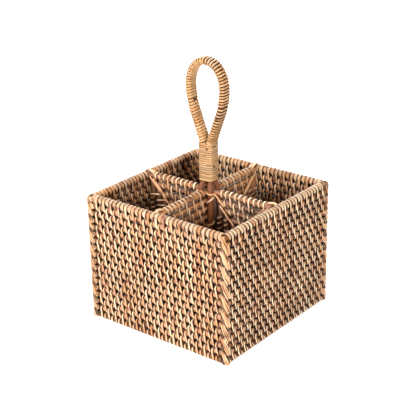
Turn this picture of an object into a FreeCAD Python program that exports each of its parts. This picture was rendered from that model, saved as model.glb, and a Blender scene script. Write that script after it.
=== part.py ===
import FreeCAD
import Part
import Sketcher
import math
import os
from FreeCAD import Vector

# A square woven rattan cutlery caddy with four compartments and a tall loop handle. Millimetres, +Z up.
# The origin is on the ground under the middle of the box. The front wall faces -Y, the right wall +X.
# Rods stack up into walls, floor and dividers, strands weave over two rods and under two and hold them
# together, and two bent rods make the handle: their four ends are the post where the dividers cross.

DRIVING_SIZES = [
    ("caddy_width", 190.0),  # outside, along X
    ("caddy_depth", 190.0),  # outside, along Y
    ("wall_height", 148.0),  # ground to the top of the bound rim
    ("rod_diameter", 6.3),  # rods of the walls and the floor
    ("base_rod_diameter", 7.6),  # lowest rod of each wall, which the caddy stands on
    ("rim_rod_diameter", 7.0),  # highest rod of each wall
    ("standing_flat", 0.4),  # planed off under the base rods and the bearers
    ("strand_width", 2.3),
    ("strand_thickness", 1.5),
    ("weave_slack", 0.15),  # room between a strand and the rod that it passes
    ("strand_spacing", 5.1),  # from one pair of strands to the next, on the walls
    ("floor_strand_spacing", 10.2),
    ("divider_strand_spacing", 5.8),
    ("divider_rod_diameter", 6.4),
    ("divider_rod_gap", 2.6),  # least room between two rods of a divider
    ("divider_rise", 1.0),  # rim up to the top of the dividers
    ("seat_gap", 0.3),  # between pieces that rest on each other
    ("lashing_reach", 9.0),  # a corner lashing's reach along each wall
    ("bearer_spread", 62.0),  # middle bearer to an outer one
    ("handle_rod_diameter", 6.1),
    ("collar_lift", 9.0),  # rim up to the foot of the collar
    ("collar_height", 44.8),
    ("splay_bend", 8.0),  # bend radius of the post rods under the collar
    ("neck_bend", 9.0),  # bend radius of the loop's legs over the collar
    ("leg_bend", 84.0),  # bend radius of the legs below the widest place
    ("leg_height", 60.4),  # collar to the loop's widest place
    ("bow_height", 27.5),  # widest place to the top of the loop's axis
    ("loop_half_width", 22.4),  # handle's middle to a leg's axis
    ("cane_diameter", 1.0),  # cane bound round the loop and the collar
    ("collar_turns", 17),
    ("loop_turns", 18),  # in each of the loop's four bindings
    ("cane_tuck", 8.0),  # how far the loop's cane goes down into the collar
    ("binding_gap", 1.2),  # between two bindings that follow each other
    ("tack_head_diameter", 2.4),
    ("tack_head_height", 0.7),
    ("tack_shank_diameter", 0.8),
    ("high_tack_turns", 2.5),  # turns of cane from the collar's top down to the front tack
    ("low_tack_turns", 6.5),  # turns of cane from the collar's foot up to the right tack
    ("tie_length", 5.0),  # a rim tie's reach from the rim's inside, over the divider and over the rim
    ("post_lashing_inset", 8.0),  # top of the dividers down to the post's high lashings
    ("post_lashing_spacing", 32.0),  # high lashings down to the low ones
]

# Values that follow from the driving sizes, as formulas of the second sheet.
DERIVED_SIZES = [
    ("weave_room", "=Sizes.strand_thickness + 2 * Sizes.weave_slack"),
    ("skin", "=Sizes.strand_thickness + Sizes.weave_slack"),
    ("base_z", "=Sizes.base_rod_diameter / 2 - Sizes.standing_flat"),
    ("rim_z", "=Sizes.wall_height - skin - Sizes.rim_rod_diameter / 2"),
    ("stack_room", "=rim_z - Sizes.rim_rod_diameter / 2 - base_z - Sizes.base_rod_diameter / 2"),
    ("wall_rods", "=floor((stack_room - weave_room) / (Sizes.rod_diameter + weave_room))"),
    ("rod_gap", "=(stack_room - wall_rods * Sizes.rod_diameter) / (wall_rods + 1)"),
    ("rod_pitch", "=Sizes.rod_diameter + rod_gap"),
    ("first_rod_z", "=base_z + Sizes.base_rod_diameter / 2 + rod_gap + Sizes.rod_diameter / 2"),
    ("thick_radius", "=max(Sizes.base_rod_diameter; Sizes.rim_rod_diameter; Sizes.rod_diameter) / 2"),
    ("side_wall_x", "=Sizes.caddy_width / 2 - skin - thick_radius"),
    ("end_wall_y", "=Sizes.caddy_depth / 2 - skin - thick_radius"),
    ("inside_x", "=side_wall_x - thick_radius - skin"),
    ("inside_y", "=end_wall_y - thick_radius - skin"),
    ("side_rod_length", "=Sizes.caddy_depth - 2 * skin"),
    ("end_rod_length", "=2 * (side_wall_x - thick_radius - Sizes.seat_gap)"),
    ("bearer_z", "=Sizes.rod_diameter / 2 - Sizes.standing_flat"),
    ("bearer_length", "=2 * (end_wall_y - thick_radius - skin - Sizes.seat_gap)"),
    ("floor_z", "=bearer_z + Sizes.rod_diameter + Sizes.seat_gap"),
    ("floor_rods", "=floor((2 * inside_y + weave_room) / (Sizes.rod_diameter + weave_room))"),
    ("floor_pitch", "=(2 * (inside_y - Sizes.seat_gap) - Sizes.rod_diameter) / (floor_rods - 1)"),
    ("floor_rod_length", "=2 * (inside_x - Sizes.seat_gap)"),
    ("floor_top", "=floor_z + Sizes.rod_diameter / 2 + skin"),
    ("divider_foot", "=floor_top + Sizes.seat_gap"),
    ("divider_top", "=Sizes.wall_height + Sizes.divider_rise - skin"),
    ("cane_path", "=Sizes.handle_rod_diameter / 2 + Sizes.weave_slack + Sizes.cane_diameter / 2"),
    ("bundle_x", "=cane_path + Sizes.cane_diameter / 2 + Sizes.weave_slack"),
    ("bundle_y", "=Sizes.handle_rod_diameter / 2 + Sizes.weave_slack"),
    ("collar_path", "=cane_path + Sizes.cane_diameter + Sizes.weave_slack"),
    ("post_offset", "=(Sizes.divider_rod_diameter + Sizes.handle_rod_diameter) / 2 + Sizes.seat_gap"),
    ("post_zone", "=post_offset + Sizes.handle_rod_diameter / 2 + skin + Sizes.seat_gap"),
    ("collar_foot", "=Sizes.wall_height + Sizes.collar_lift"),
    ("collar_top", "=collar_foot + Sizes.collar_height"),
]

doc = FreeCAD.newDocument("CutleryCaddy")
sizes = doc.addObject("Spreadsheet::Sheet", "Sizes")
for row, (alias, number) in enumerate(DRIVING_SIZES, start=1):
    sizes.set("A%d" % row, alias)
    sizes.set("B%d" % row, str(number))
    sizes.setAlias("B%d" % row, alias)
doc.recompute()
layout = doc.addObject("Spreadsheet::Sheet", "Layout")
for row, (alias, formula) in enumerate(DERIVED_SIZES, start=1):
    layout.set("A%d" % row, alias)
    layout.setAlias("B%d" % row, alias)
    layout.set("B%d" % row, formula)
    doc.recompute()

size = {alias: float(sizes.get(alias)) for alias, _ in DRIVING_SIZES}
place = {alias: float(layout.get(alias)) for alias, _ in DERIVED_SIZES}

UP = Vector(0, 0, 1)
DOWN = Vector(0, 0, -1)
EAST = Vector(1, 0, 0)
NORTH = Vector(0, 1, 0)
DRAWN_RADIUS = 3.0  # of a rod's section as first drawn, before its diameter sets it
TURN_STEP = 0.01  # along a line, for the change of its direction
TURN_CLEAR = 4  # wires along a cane, beyond which it counts as another turn
TURN_POINTS = 220  # points along a cane that hold more than one turn
SUB_PARTS = []


def origin_feature(body, role):
    """The body's own origin plane or axis with that role."""
    return next(f for f in body.Origin.OriginFeatures if f.Role == role)


def rod_body(label, along, diameter, length, place_at, pattern=None, flat=False):
    """A body of parallel rods: one section, padded both ways, and repeated along an axis.

    along is "X" or "Y". diameter and length are formulas, place_at gives the formulas of the body's
    place, and pattern, if any, is (axis, number of rods, distance from first to last). A flat rod has its
    underside planed off by the standing flat.
    """
    body = doc.addObject("PartDesign::Body", label)
    body.Label = label
    body.AllowCompound = True
    section = body.newObject("Sketcher::SketchObject", label + "_section")
    plane = "YZ_Plane" if along == "X" else "XZ_Plane"
    section.AttachmentSupport = [(origin_feature(body, plane), "")]
    section.MapMode = "FlatFace"
    if flat:
        start = Vector(-DRAWN_RADIUS / 3, -DRAWN_RADIUS / 2, 0)
        end = Vector(DRAWN_RADIUS / 3, -DRAWN_RADIUS / 2, 0)
        middle = Part.Circle(Vector(), UP, DRAWN_RADIUS)
        low_right, low_left = math.atan2(end.y, end.x), math.atan2(start.y, start.x) + 2 * math.pi
        section.addGeometry(Part.ArcOfCircle(middle, low_right, low_left), False)
        section.addGeometry(Part.LineSegment(start, end), False)
        section.addConstraint(Sketcher.Constraint("Coincident", 0, 3, -1, 1))
        section.addConstraint(Sketcher.Constraint("Coincident", 0, 2, 1, 1))
        section.addConstraint(Sketcher.Constraint("Coincident", 0, 1, 1, 2))
        section.addConstraint(Sketcher.Constraint("Horizontal", 1))
        section.addConstraint(Sketcher.Constraint("DistanceY", 1, 1, -1, 1, DRAWN_RADIUS / 2))
        section.setExpression("Constraints[4]", "%s / 2 - Sizes.standing_flat" % diameter)
    else:
        section.addGeometry(Part.Circle(Vector(), UP, DRAWN_RADIUS), False)
        section.addConstraint(Sketcher.Constraint("Coincident", 0, 3, -1, 1))
    radius = section.addConstraint(Sketcher.Constraint("Radius", 0, DRAWN_RADIUS))
    section.setExpression("Constraints[%d]" % radius, "%s / 2" % diameter)
    pad = body.newObject("PartDesign::Pad", label + "_rod")
    pad.Profile = section
    pad.Midplane = True
    pad.setExpression("Length", length)
    body.Tip = pad
    if pattern:
        axis, count, span = pattern
        row = body.newObject("PartDesign::LinearPattern", label + "_row")
        row.Originals = [pad]
        row.Direction = (origin_feature(body, axis), [""])
        row.setExpression("Length", span)
        row.setExpression("Occurrences", count)
        body.Tip = row
    for axis, formula in zip("xyz", place_at):
        body.setExpression("Placement.Base." + axis, formula)
    SUB_PARTS.append(body)
    return body


def plain_feature(label, solids):
    """A sub-part whose shape follows a formula, with each piece a solid of its own."""
    feature = doc.addObject("Part::Feature", label)
    feature.Label = label
    feature.Shape = solids[0] if len(solids) == 1 else Part.makeCompound(solids)
    feature.Placement = FreeCAD.Placement()
    SUB_PARTS.append(feature)
    return feature


def prism(points, thickness):
    """A solid from a closed flat outline and the vector that it is drawn out along."""
    return Part.Face(Part.makePolygon(points + points[:1])).extrude(thickness)


def thickened(line, width):
    """The outline of a strip of that width about a line of (across, along) points with square corners."""
    sides = ([], [])
    for i, (n, s) in enumerate(line):
        normals = []
        for (n0, s0), (n1, s1) in zip(line[max(i - 1, 0):i + 1], line[max(i, 1):i + 2]):
            run = math.hypot(n1 - n0, s1 - s0)
            normals.append((-(s1 - s0) / run, (n1 - n0) / run))
        if len(normals) == 2 and normals[0] != normals[1]:
            step = (normals[0][0] + normals[1][0], normals[0][1] + normals[1][1])
        else:
            step = normals[0]
        for side, sign in zip(sides, (width / 2, -width / 2)):
            side.append((n + sign * step[0], s + sign * step[1]))
    return sides[0] + sides[1][::-1]


def woven_line(rods, phase, half, wraps, tail):
    """The middle line of a strand that passes outside two rods and then inside two.

    rods holds each rod's (distance along the strand, radius), and the answer is a list of (across, along)
    points. phase staggers neighbouring pairs by one rod, and half is 0 or 1 within a pair. With wraps, the
    outer strand goes over the first rod. tail is the strand's length past the middle of its last rod.
    """
    lift = size["weave_slack"] + size["strand_thickness"] / 2
    stitches = [(i + phase) // 2 for i in range(len(rods))]
    sides = [1 if (stitch + half) % 2 == 0 else -1 for stitch in stitches]
    thickest = {stitch: max(rod[1] for rod, s in zip(rods, stitches) if s == stitch) for stitch in stitches}
    across = [side * (thickest[stitch] + lift) for side, stitch in zip(sides, stitches)]
    first, first_radius = rods[0]
    line = []
    if wraps and half == 0:
        crown = first - first_radius - lift
        line += [(-across[0], first), (-across[0], crown), (across[0], crown)]
    else:
        line.append((across[0], first - (0 if wraps else first_radius)))
    for i in range(1, len(rods)):
        if sides[i] == sides[i - 1]:
            continue
        high, low = rods[i - 1], rods[i]
        gap = (high[0] + high[1] + low[0] - low[1]) / 2
        line += [(line[-1][0], gap), (across[i], gap)]
    line.append((line[-1][0], rods[-1][0] + tail))
    return line


def strand(line, corner, outward, along, across_rods, width):
    """One woven strand: its line drawn up in a plane and given its width along the rods."""
    outline = thickened(line, size["strand_thickness"])
    points = [corner + outward * n + along * s - across_rods * (width / 2) for n, s in outline]
    return prism(points, across_rods * width)


def strand_pair(rods, phase, wraps, tail, corner, outward, along, across_rods):
    """The two strands of one column, side by side, each outside where the other is inside."""
    width = size["strand_width"]
    apart = (width + size["weave_slack"]) / 2
    return [
        strand(woven_line(rods, phase, half, wraps, tail), corner + across_rods * shift, outward, along,
               across_rods, width)
        for half, shift in ((0, -apart), (1, apart))
    ]


def spread(room, spacing):
    """Evenly spaced places, about that far apart, from edge to edge of a room about zero."""
    count = max(int(room // spacing), 1)
    return [(i - (count - 1) / 2) * room / count for i in range(count)]


def wall_weavers(label, outward, sideways, distance, room):
    """The strands of one wall: pairs folded over the rim rod and trimmed at the foot of the base rod."""
    rods = [(-place["rim_z"], size["rim_rod_diameter"] / 2)]
    for i in reversed(range(int(place["wall_rods"]))):
        rods.append((-(place["first_rod_z"] + i * place["rod_pitch"]), size["rod_diameter"] / 2))
    rods.append((-place["base_z"], size["base_rod_diameter"] / 2))
    tail = place["base_z"] - size["standing_flat"]
    solids = []
    for column, across in enumerate(spread(room, size["strand_spacing"])):
        corner = outward * distance + sideways * across
        solids += strand_pair(rods, column % 2, True, tail, corner, outward, DOWN, sideways)
    return plain_feature(label, solids)


def rod_levels():
    """The heights of the middles of all rods of a wall, from the base to the rim."""
    between = [place["first_rod_z"] + i * place["rod_pitch"] for i in range(int(place["wall_rods"]))]
    return [place["base_z"]] + between + [place["rim_z"]]


def corner_lashing(label, east, north):
    """Strips round one upright edge of the box, one at each rod, over the ends of the side wall's rods."""
    thickness, reach = size["strand_thickness"], size["lashing_reach"]
    corner = Vector(east * size["caddy_width"] / 2, north * size["caddy_depth"] / 2, 0)
    to_middle, to_back = EAST * -east, NORTH * -north
    outline = [Vector(), to_middle * reach, to_middle * reach + to_back * thickness]
    outline += [to_middle * thickness + to_back * thickness]
    outline += [to_middle * thickness + to_back * reach, to_back * reach]
    lift = UP * (size["strand_width"] / 2)
    solids = [
        prism([corner + UP * z - lift + point for point in outline], lift * 2) for z in rod_levels()
    ]
    return plain_feature(label, solids)


class Divider:
    """A woven panel of nested rods: level rods above its two mitre lines and upright ones below them."""

    def __init__(self, name, start, sideways, length, keep_clear):
        """start is the panel's end under its top, and keep_clear(u) says where no strand may run."""
        self.name, self.start, self.sideways, self.length = name, start, sideways, length
        self.keep_clear = keep_clear
        self.outward = UP.cross(sideways)
        self.diameter = size["divider_rod_diameter"]
        self.radius = self.diameter / 2
        least_pitch = self.diameter + size["divider_rod_gap"]
        self.uprights = int((length + size["divider_rod_gap"]) // least_pitch)
        self.pitch = (length - self.diameter) / (self.uprights - 1)
        self.nested = self.uprights // 2
        self.height = place["divider_top"] - place["divider_foot"]

    def at(self, across, depth):
        """A point of the panel's middle plane."""
        return self.start + self.sideways * across + DOWN * depth

    def upright_places(self):
        """(place along the panel, depth of its upper end) of each upright rod."""
        answer = []
        for i in range(self.uprights):
            ring = min(i, self.uprights - 1 - i, self.nested - 1)
            answer.append((self.radius + i * self.pitch, ring * self.pitch + self.diameter + size["seat_gap"]))
        return answer

    def rods(self):
        """The level rods, from the top down, and the upright rods that meet them from below."""
        solids = []
        for ring in range(self.nested):
            inset = ring * self.pitch
            foot = self.at(inset, inset + self.radius)
            solids.append(Part.makeCylinder(self.radius, self.length - 2 * inset, foot, self.sideways))
        for across, top in self.upright_places():
            solids.append(Part.makeCylinder(self.radius, self.height - top, self.at(across, self.height), UP))
        return plain_feature(self.name + "_rods", solids)

    def level_rows(self):
        """The groups of upright rods that each level row of strands binds, as (depth, places)."""
        room = self.height - 2 * self.diameter
        for shift in spread(room, size["divider_strand_spacing"]):
            depth = self.height / 2 + self.radius + shift
            group = []
            for across, top in self.upright_places() + [(math.inf, math.inf)]:
                if top + self.radius < depth and not self.keep_clear(across):
                    group.append(across)
                    continue
                if len(group) > 1:
                    yield depth, group
                group = []

    def weavers(self):
        """Pairs of strands across the rods of each field, and one strand along each mitre, on both faces."""
        solids = []
        half_pair = size["strand_width"] + size["weave_slack"]
        mitre_room = half_pair + size["strand_width"] + self.radius
        for column, shift in enumerate(spread(self.length, size["divider_strand_spacing"])):
            across = self.length / 2 + shift
            depth = min(across, self.length - across) - mitre_room
            count = min(int(depth // self.pitch) + 1, self.nested) if depth > 0 else 0
            if count > 0 and not self.keep_clear(across):
                rods = [(self.radius + i * self.pitch, self.radius) for i in range(count)]
                solids += strand_pair(rods, column % 2, True, self.radius, self.at(across, 0), self.outward,
                                      DOWN, self.sideways)
        for row, (depth, group) in enumerate(self.level_rows()):
            rods = [(across, self.radius) for across in group]
            solids += strand_pair(rods, row % 2, False, self.radius, self.at(0, depth), self.outward,
                                  self.sideways, DOWN)
        return plain_feature(self.name + "_weavers", solids)

    def mitre_strands(self):
        """The long slanting strands over the weave along the two mitre lines, on both faces."""
        solids = []
        half = size["strand_width"] / math.sqrt(2)
        for mirrored in (False, True):
            def from_end(across):
                return self.length - across if mirrored else across

            reach = [ring * self.pitch + self.diameter for ring in range(self.nested)]
            clear = [
                across for across in reach
                if not any(self.keep_clear(from_end(across + side)) for side in (-half, half))
            ]
            near, far = clear[0], clear[-1]
            flat = [(near - half, near + half), (near + half, near - half), (far + half, far - half),
                    (far - half, far + half)]
            flat = [(from_end(across), depth) for across, depth in flat]
            for face in (1, -1):
                lift = self.outward * (face * (self.radius + place["skin"] + size["weave_slack"]))
                points = [self.at(across, depth) + lift for across, depth in flat]
                solids.append(prism(points, self.outward * (face * size["strand_thickness"])))
        return solids


def arc(start, direction, end):
    """An arc, or a line where they are in line, that leaves start in a direction and ends at end."""
    chord = end - start
    along = chord.dot(direction)
    leg = chord.dot(chord) / (2 * along)
    weight = chord.Length / (2 * leg)
    if weight > 1 - 1e-7:
        return Part.LineSegment(start, end).toShape()
    meet = start + direction * leg
    middle = (start + meet * (2 * weight) + end) * (1 / (2 + 2 * weight))
    return Part.Arc(start, middle, end).toShape()


def biarc(start, start_way, end, end_way):
    """Two arcs that meet smoothly, from one point and direction to another."""
    chord, both = end - start, start_way + end_way
    square = 2 * (1 - start_way.dot(end_way))
    slope = chord.dot(both)
    reach = chord.dot(chord)
    if square < 1e-9:
        leg = reach / (2 * slope)
    else:
        leg = (math.sqrt(slope * slope + square * reach) - slope) / square
    meet_start, meet_end = start + start_way * leg, end - end_way * leg
    middle = (meet_start + meet_end) * 0.5
    way = (meet_end - meet_start).normalize()
    return [arc(start, start_way, middle), arc(middle, way, end)]


class LoopLine:
    """The plane line that the handle's loop follows, from the collar's top to the top of the bow, in X and Z.

    It is a chain of arcs and one straight run, and gives points by distance from the collar.
    """

    def __init__(self):
        neck, leg = size["neck_bend"], size["leg_bend"]
        self.foot = Vector(place["bundle_x"], 0, place["collar_top"])
        self.wide = Vector(size["loop_half_width"], 0, place["collar_top"] + size["leg_height"])
        both = neck + leg
        offset = both - (self.wide.x - self.foot.x)
        slant = math.hypot(offset, size["leg_height"])
        lean = math.asin(both / slant) - math.atan2(offset, size["leg_height"])
        run = math.sqrt(slant * slant - both * both)
        wide, tall = size["loop_half_width"], size["bow_height"]
        reach = (math.sqrt((wide + tall) ** 2 + 2 * (wide ** 2 + tall ** 2)) - (wide + tall)) / 2
        shoulder_turn = math.atan2(wide - reach, tall - reach)
        crown_turn = math.pi / 2 - shoulder_turn
        shoulder, crown = reach / math.tan(shoulder_turn / 2), reach / math.tan(crown_turn / 2)
        # Each piece is (length, turn): a turn to the left, towards the middle, is positive
        self.pieces = [(neck * lean, -lean), (run, 0.0), (leg * lean, lean),
                       (shoulder * shoulder_turn, shoulder_turn), (crown * crown_turn, crown_turn)]
        self.length = sum(length for length, _ in self.pieces)

    def walk(self, distance):
        """Point and direction at a distance past the collar's top, on the right-hand half of the loop."""
        point, heading = self.foot + UP * min(distance, 0.0), math.pi / 2
        for length, turn in self.pieces:
            part = min(max(distance, 0.0), length)
            angle = turn * part / length
            if abs(angle) > 1e-12:
                radius = part / angle
                point += Vector(radius * (math.sin(heading + angle) - math.sin(heading)), 0,
                                radius * (math.cos(heading) - math.cos(heading + angle)))
            else:
                point += Vector(math.cos(heading), 0, math.sin(heading)) * part
            heading += angle
            distance -= length
        return point, Vector(math.cos(heading), 0, math.sin(heading))

    def at(self, distance):
        """As walk, over the whole loop, with distances past the bow's top on the left-hand half."""
        if distance <= self.length:
            return self.walk(distance)
        point, way = self.walk(2 * self.length - distance)
        return Vector(-point.x, 0, point.z), Vector(way.x, 0, -way.z)

    def knots(self):
        """Points and directions where the line's arcs meet, from the collar to the bow's top."""
        distance, answer = 0.0, [self.walk(0.0)]
        for length, _ in self.pieces:
            distance += length
            answer.append(self.walk(distance))
        return answer


def collar_line(distance):
    """Point and direction on the upright axis of the collar."""
    return Vector(0, 0, place["collar_foot"] + distance), Vector(UP)


def binding_path(line, start, end, turns, middles, radius):
    """The points and directions of a cane wound round a bundle of rods that follows a line.

    middles are the rods' middles in the bundle's section, in order round it, and radius is that of the
    cane's path about each. The cane climbs evenly from one distance along the line to the other.
    """
    edges = []
    for (n0, b0), (n1, b1) in zip(middles, middles[1:] + middles[:1]):
        run = math.hypot(n1 - n0, b1 - b0)
        edges.append(((n0, b0), (n1, b1), ((n1 - n0) / run, (b1 - b0) / run), run))
    bend = 2 * math.pi * radius / len(middles)
    round_once = sum(edge[3] + bend for edge in edges)
    climb = (end - start) / (turns * round_once)
    path, travelled = [], 0.0
    for _ in range(turns):
        for foot, head, (along_n, along_b), run in edges:
            for n0, b0 in (foot, head):
                n, b = n0 + along_b * radius, b0 - along_n * radius
                middle, way = line(start + travelled * climb)
                inward = NORTH.cross(way)
                ahead = line(start + travelled * climb + TURN_STEP)[1]
                turning = (NORTH.cross(ahead) - inward) * (n / TURN_STEP)
                tangent = inward * along_n + NORTH * along_b + (way + turning) * climb
                path.append((middle + inward * n + NORTH * b, tangent.normalize()))
                travelled += run if (n0, b0) == foot else bend
    return path


def least_gap(edges, wire):
    """The least clear distance between neighbouring turns of a wound cane, measured on points."""
    points = []
    travelled = 0.0
    for edge in edges:
        count = max(int(edge.Length / (wire / 2)), 2)
        for point in edge.discretize(count + 1)[:-1]:
            points.append((travelled, point))
            travelled += edge.Length / count
    apart = [
        (points[j][1] - points[i][1]).Length
        for i in range(len(points))
        for j in range(i + 1, min(i + TURN_POINTS, len(points)))
        if points[j][0] - points[i][0] > TURN_CLEAR * wire
    ]
    return min(apart) - wire


def binding(label, path):
    """One unbroken cane along a wound path, with a straight end of one diameter at both ends."""
    wire = size["cane_diameter"]
    (first, first_way), (last, last_way) = path[0], path[-1]
    edges = [Part.LineSegment(first - first_way * wire, first).toShape()]
    for (start, start_way), (end, end_way) in zip(path, path[1:]):
        edges += biarc(start, start_way, end, end_way)
    edges.append(Part.LineSegment(last, last + last_way * wire).toShape())
    section = Part.Wire(Part.Circle(first - first_way * wire, first_way, wire / 2).toShape())
    tube = Part.Wire(edges).makePipeShell([section], True, False)
    print("%s: %d bends, least gap to itself %.2f mm" % (label, len(edges), least_gap(edges, wire)))
    return plain_feature(label, [tube])


def handle_rod(label, side):
    """One bent rod: up as a post rod, through the collar, round the loop and down as another post rod."""
    post, bend = place["post_offset"], size["splay_bend"]
    collar_low = Vector(place["bundle_x"], side * place["bundle_y"], place["collar_foot"])
    sidestep = Vector(collar_low.x - post, collar_low.y - side * post, 0)
    turn = math.acos(1 - sidestep.Length / (2 * bend))
    drop = 2 * bend * math.sin(turn)
    half = sidestep.normalize() * math.sin(turn) + UP * math.cos(turn)
    low = Vector(post, side * post, place["divider_foot"])
    knee = Vector(post, side * post, collar_low.z - drop)
    elbow = (knee + collar_low) * 0.5
    shift = NORTH * (side * place["bundle_y"])
    half_edges = [(low, UP, knee), (knee, UP, elbow), (elbow, half, collar_low)]
    knots = loop_line.knots()
    half_edges.append((collar_low, UP, knots[0][0] + shift))
    for (start, way), (end, _) in zip(knots, knots[1:]):
        half_edges.append((start + shift, way, end + shift))
    right = [arc(*edge) for edge in half_edges]
    left = [edge.mirror(Vector(), EAST) for edge in right]
    section = Part.Wire(Part.Circle(low, UP, size["handle_rod_diameter"] / 2).toShape())
    spine = Part.Wire(Part.__sortEdges__(right + left))
    rod = spine.makePipeShell([section], True, False)
    return plain_feature(label, [rod])


def loop_bindings():
    """The cane round the loop's two rods, in four bindings from the right of the collar to its left."""
    rods = [(0.0, -place["bundle_y"]), (0.0, place["bundle_y"])]
    names = ("right_leg_binding", "right_bow_binding", "left_bow_binding", "left_leg_binding")
    margin = size["cane_diameter"] / 2 + size["binding_gap"] / 2
    first = -size["cane_tuck"]
    share = 2 * (loop_line.length - first) / len(names)
    for i, name in enumerate(names):
        start, end = first + i * share + margin, first + (i + 1) * share - margin
        path = binding_path(loop_line.at, start, end, int(size["loop_turns"]), rods, place["cane_path"])
        binding(name, path)


def collar_binding():
    """The cane round the four rods where the loop's legs come together over the rim."""
    wide, deep = place["bundle_x"], place["bundle_y"]
    rods = [(-wide, -deep), (wide, -deep), (wide, deep), (-wide, deep)]
    margin = size["cane_diameter"]
    path = binding_path(collar_line, margin, size["collar_height"] - margin, int(size["collar_turns"]), rods,
                        place["collar_path"])
    binding("collar_binding", path)


def collar_tacks():
    """Two small tacks, driven between turns of the collar's cane, in its front and its right face."""
    reach = size["handle_rod_diameter"] / 2 + size["weave_slack"]
    shank_length = place["collar_path"] + size["cane_diameter"] / 2 + size["weave_slack"] - reach
    margin = size["cane_diameter"]
    climb = (size["collar_height"] - 2 * margin) / size["collar_turns"]
    wide, deep = place["bundle_x"], place["bundle_y"]
    quarter = math.pi / 2 * place["collar_path"]
    round_once = 4 * (wide + deep + quarter)
    front, front_share = Vector(wide, -deep - reach, 0), 2 * wide / round_once
    right, right_share = Vector(wide + reach, -deep, 0), (2 * wide + quarter) / round_once
    high = size["collar_turns"] - size["high_tack_turns"] + front_share
    low = size["low_tack_turns"] + right_share
    solids = []
    for foot, face, turn in ((front, NORTH * -1, high), (right, EAST, low)):
        foot = foot + UP * (place["collar_foot"] + margin + turn * climb)
        shank = Part.makeCylinder(size["tack_shank_diameter"] / 2, shank_length, foot, face)
        cap = Part.makeCylinder(size["tack_head_diameter"] / 2, size["tack_head_height"],
                                foot + face * shank_length, face)
        solids.append(shank.fuse(cap).removeSplitter())
    return plain_feature("collar_tacks", solids)


def post_lashings():
    """Strips round the outer side of each post rod, from one divider to the next, in a high and a low ring."""
    post, radius = place["post_offset"], size["handle_rod_diameter"] / 2
    thickness, width = size["strand_thickness"], size["strand_width"]
    root = size["divider_rod_diameter"] / 2 + size["weave_slack"]
    high = place["divider_top"] - size["post_lashing_inset"]
    levels = (high, high - size["post_lashing_spacing"])
    solids = []
    for east, north in ((1, 1), (-1, 1), (-1, -1), (1, -1)):
        outline = []
        for depth in (0.0, thickness):
            reach = post + radius + size["weave_slack"] + depth
            cut = post + (radius + size["weave_slack"] + depth) * math.tan(math.pi / 8)
            ring = [(reach, root), (reach, cut), (cut, reach), (root, reach)]
            outline += ring if depth == 0.0 else ring[::-1]
        for level in levels:
            points = [Vector(east * x, north * y, level) for x, y in outline]
            solids.append(prism(points, UP * width))
    return plain_feature("post_lashings", solids)


def rim_ties():
    """Strips over the rim's weave and the end of a divider's highest rod, one at each wall."""
    level = size["wall_height"] + size["weave_slack"] + size["strand_thickness"] / 2
    reach = size["tie_length"]
    solids = []
    walls = ((EAST, place["inside_x"]), (EAST * -1, place["inside_x"]), (NORTH, place["inside_y"]),
             (NORTH * -1, place["inside_y"]))
    for outward, inside in walls:
        line = [(inside + reach, level), (inside - reach, level)]
        solids.append(strand(line, Vector(), outward, UP, UP.cross(outward), size["strand_width"]))
    return plain_feature("rim_ties", solids)


# Wall rods: the side walls' rods run the whole depth, and the front and back ones butt between them
WALLS = {
    "front": ("X", "0", "-Layout.end_wall_y", "Layout.end_rod_length"),
    "back": ("X", "0", "Layout.end_wall_y", "Layout.end_rod_length"),
    "left": ("Y", "-Layout.side_wall_x", "0", "Layout.side_rod_length"),
    "right": ("Y", "Layout.side_wall_x", "0", "Layout.side_rod_length"),
}
for name, (along, east, north, length) in WALLS.items():
    rod_body(name + "_base_rod", along, "Sizes.base_rod_diameter", length, (east, north, "Layout.base_z"),
             flat=True)
    rod_body(name + "_wall_rods", along, "Sizes.rod_diameter", length, (east, north, "Layout.first_rod_z"),
             ("Z_Axis", "Layout.wall_rods", "Layout.rod_pitch * (Layout.wall_rods - 1)"))
    rod_body(name + "_rim_rod", along, "Sizes.rim_rod_diameter", length, (east, north, "Layout.rim_z"))

end_room = place["floor_rod_length"]
side_room = place["side_rod_length"] - 2 * size["lashing_reach"]
wall_weavers("front_wall_weavers", NORTH * -1, EAST, place["end_wall_y"], end_room)
wall_weavers("back_wall_weavers", NORTH, EAST, place["end_wall_y"], end_room)
wall_weavers("left_wall_weavers", EAST * -1, NORTH, place["side_wall_x"], side_room)
wall_weavers("right_wall_weavers", EAST, NORTH, place["side_wall_x"], side_room)
for end_name, north in (("front", -1), ("back", 1)):
    for side_name, east in (("left", -1), ("right", 1)):
        corner_lashing("%s_%s_corner_lashing" % (end_name, side_name), east, north)

# Floor: three bearers on the ground, and woven rods across them
rod_body("floor_bearers", "Y", "Sizes.rod_diameter", "Layout.bearer_length",
         ("-Sizes.bearer_spread", "0", "Layout.bearer_z"), ("X_Axis", "3", "2 * Sizes.bearer_spread"),
         flat=True)
rod_body("floor_rods", "X", "Sizes.rod_diameter", "Layout.floor_rod_length",
         ("0", "-Layout.floor_pitch * (Layout.floor_rods - 1) / 2", "Layout.floor_z"),
         ("Y_Axis", "Layout.floor_rods", "Layout.floor_pitch * (Layout.floor_rods - 1)"))
floor_line = [
    ((i - (place["floor_rods"] - 1) / 2) * place["floor_pitch"], size["rod_diameter"] / 2)
    for i in range(int(place["floor_rods"]))
]
bearer_room = size["rod_diameter"] / 2 + size["strand_width"] + size["seat_gap"]
floor_strands = []
for column, across in enumerate(spread(place["floor_rod_length"], size["floor_strand_spacing"])):
    if min(abs(across - x) for x in (-size["bearer_spread"], 0.0, size["bearer_spread"])) > bearer_room:
        floor_strands += strand_pair(floor_line, column % 2, False, size["rod_diameter"] / 2,
                                     Vector(across, 0, place["floor_z"]), UP, NORTH, EAST)
plain_feature("floor_weavers", floor_strands)

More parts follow.
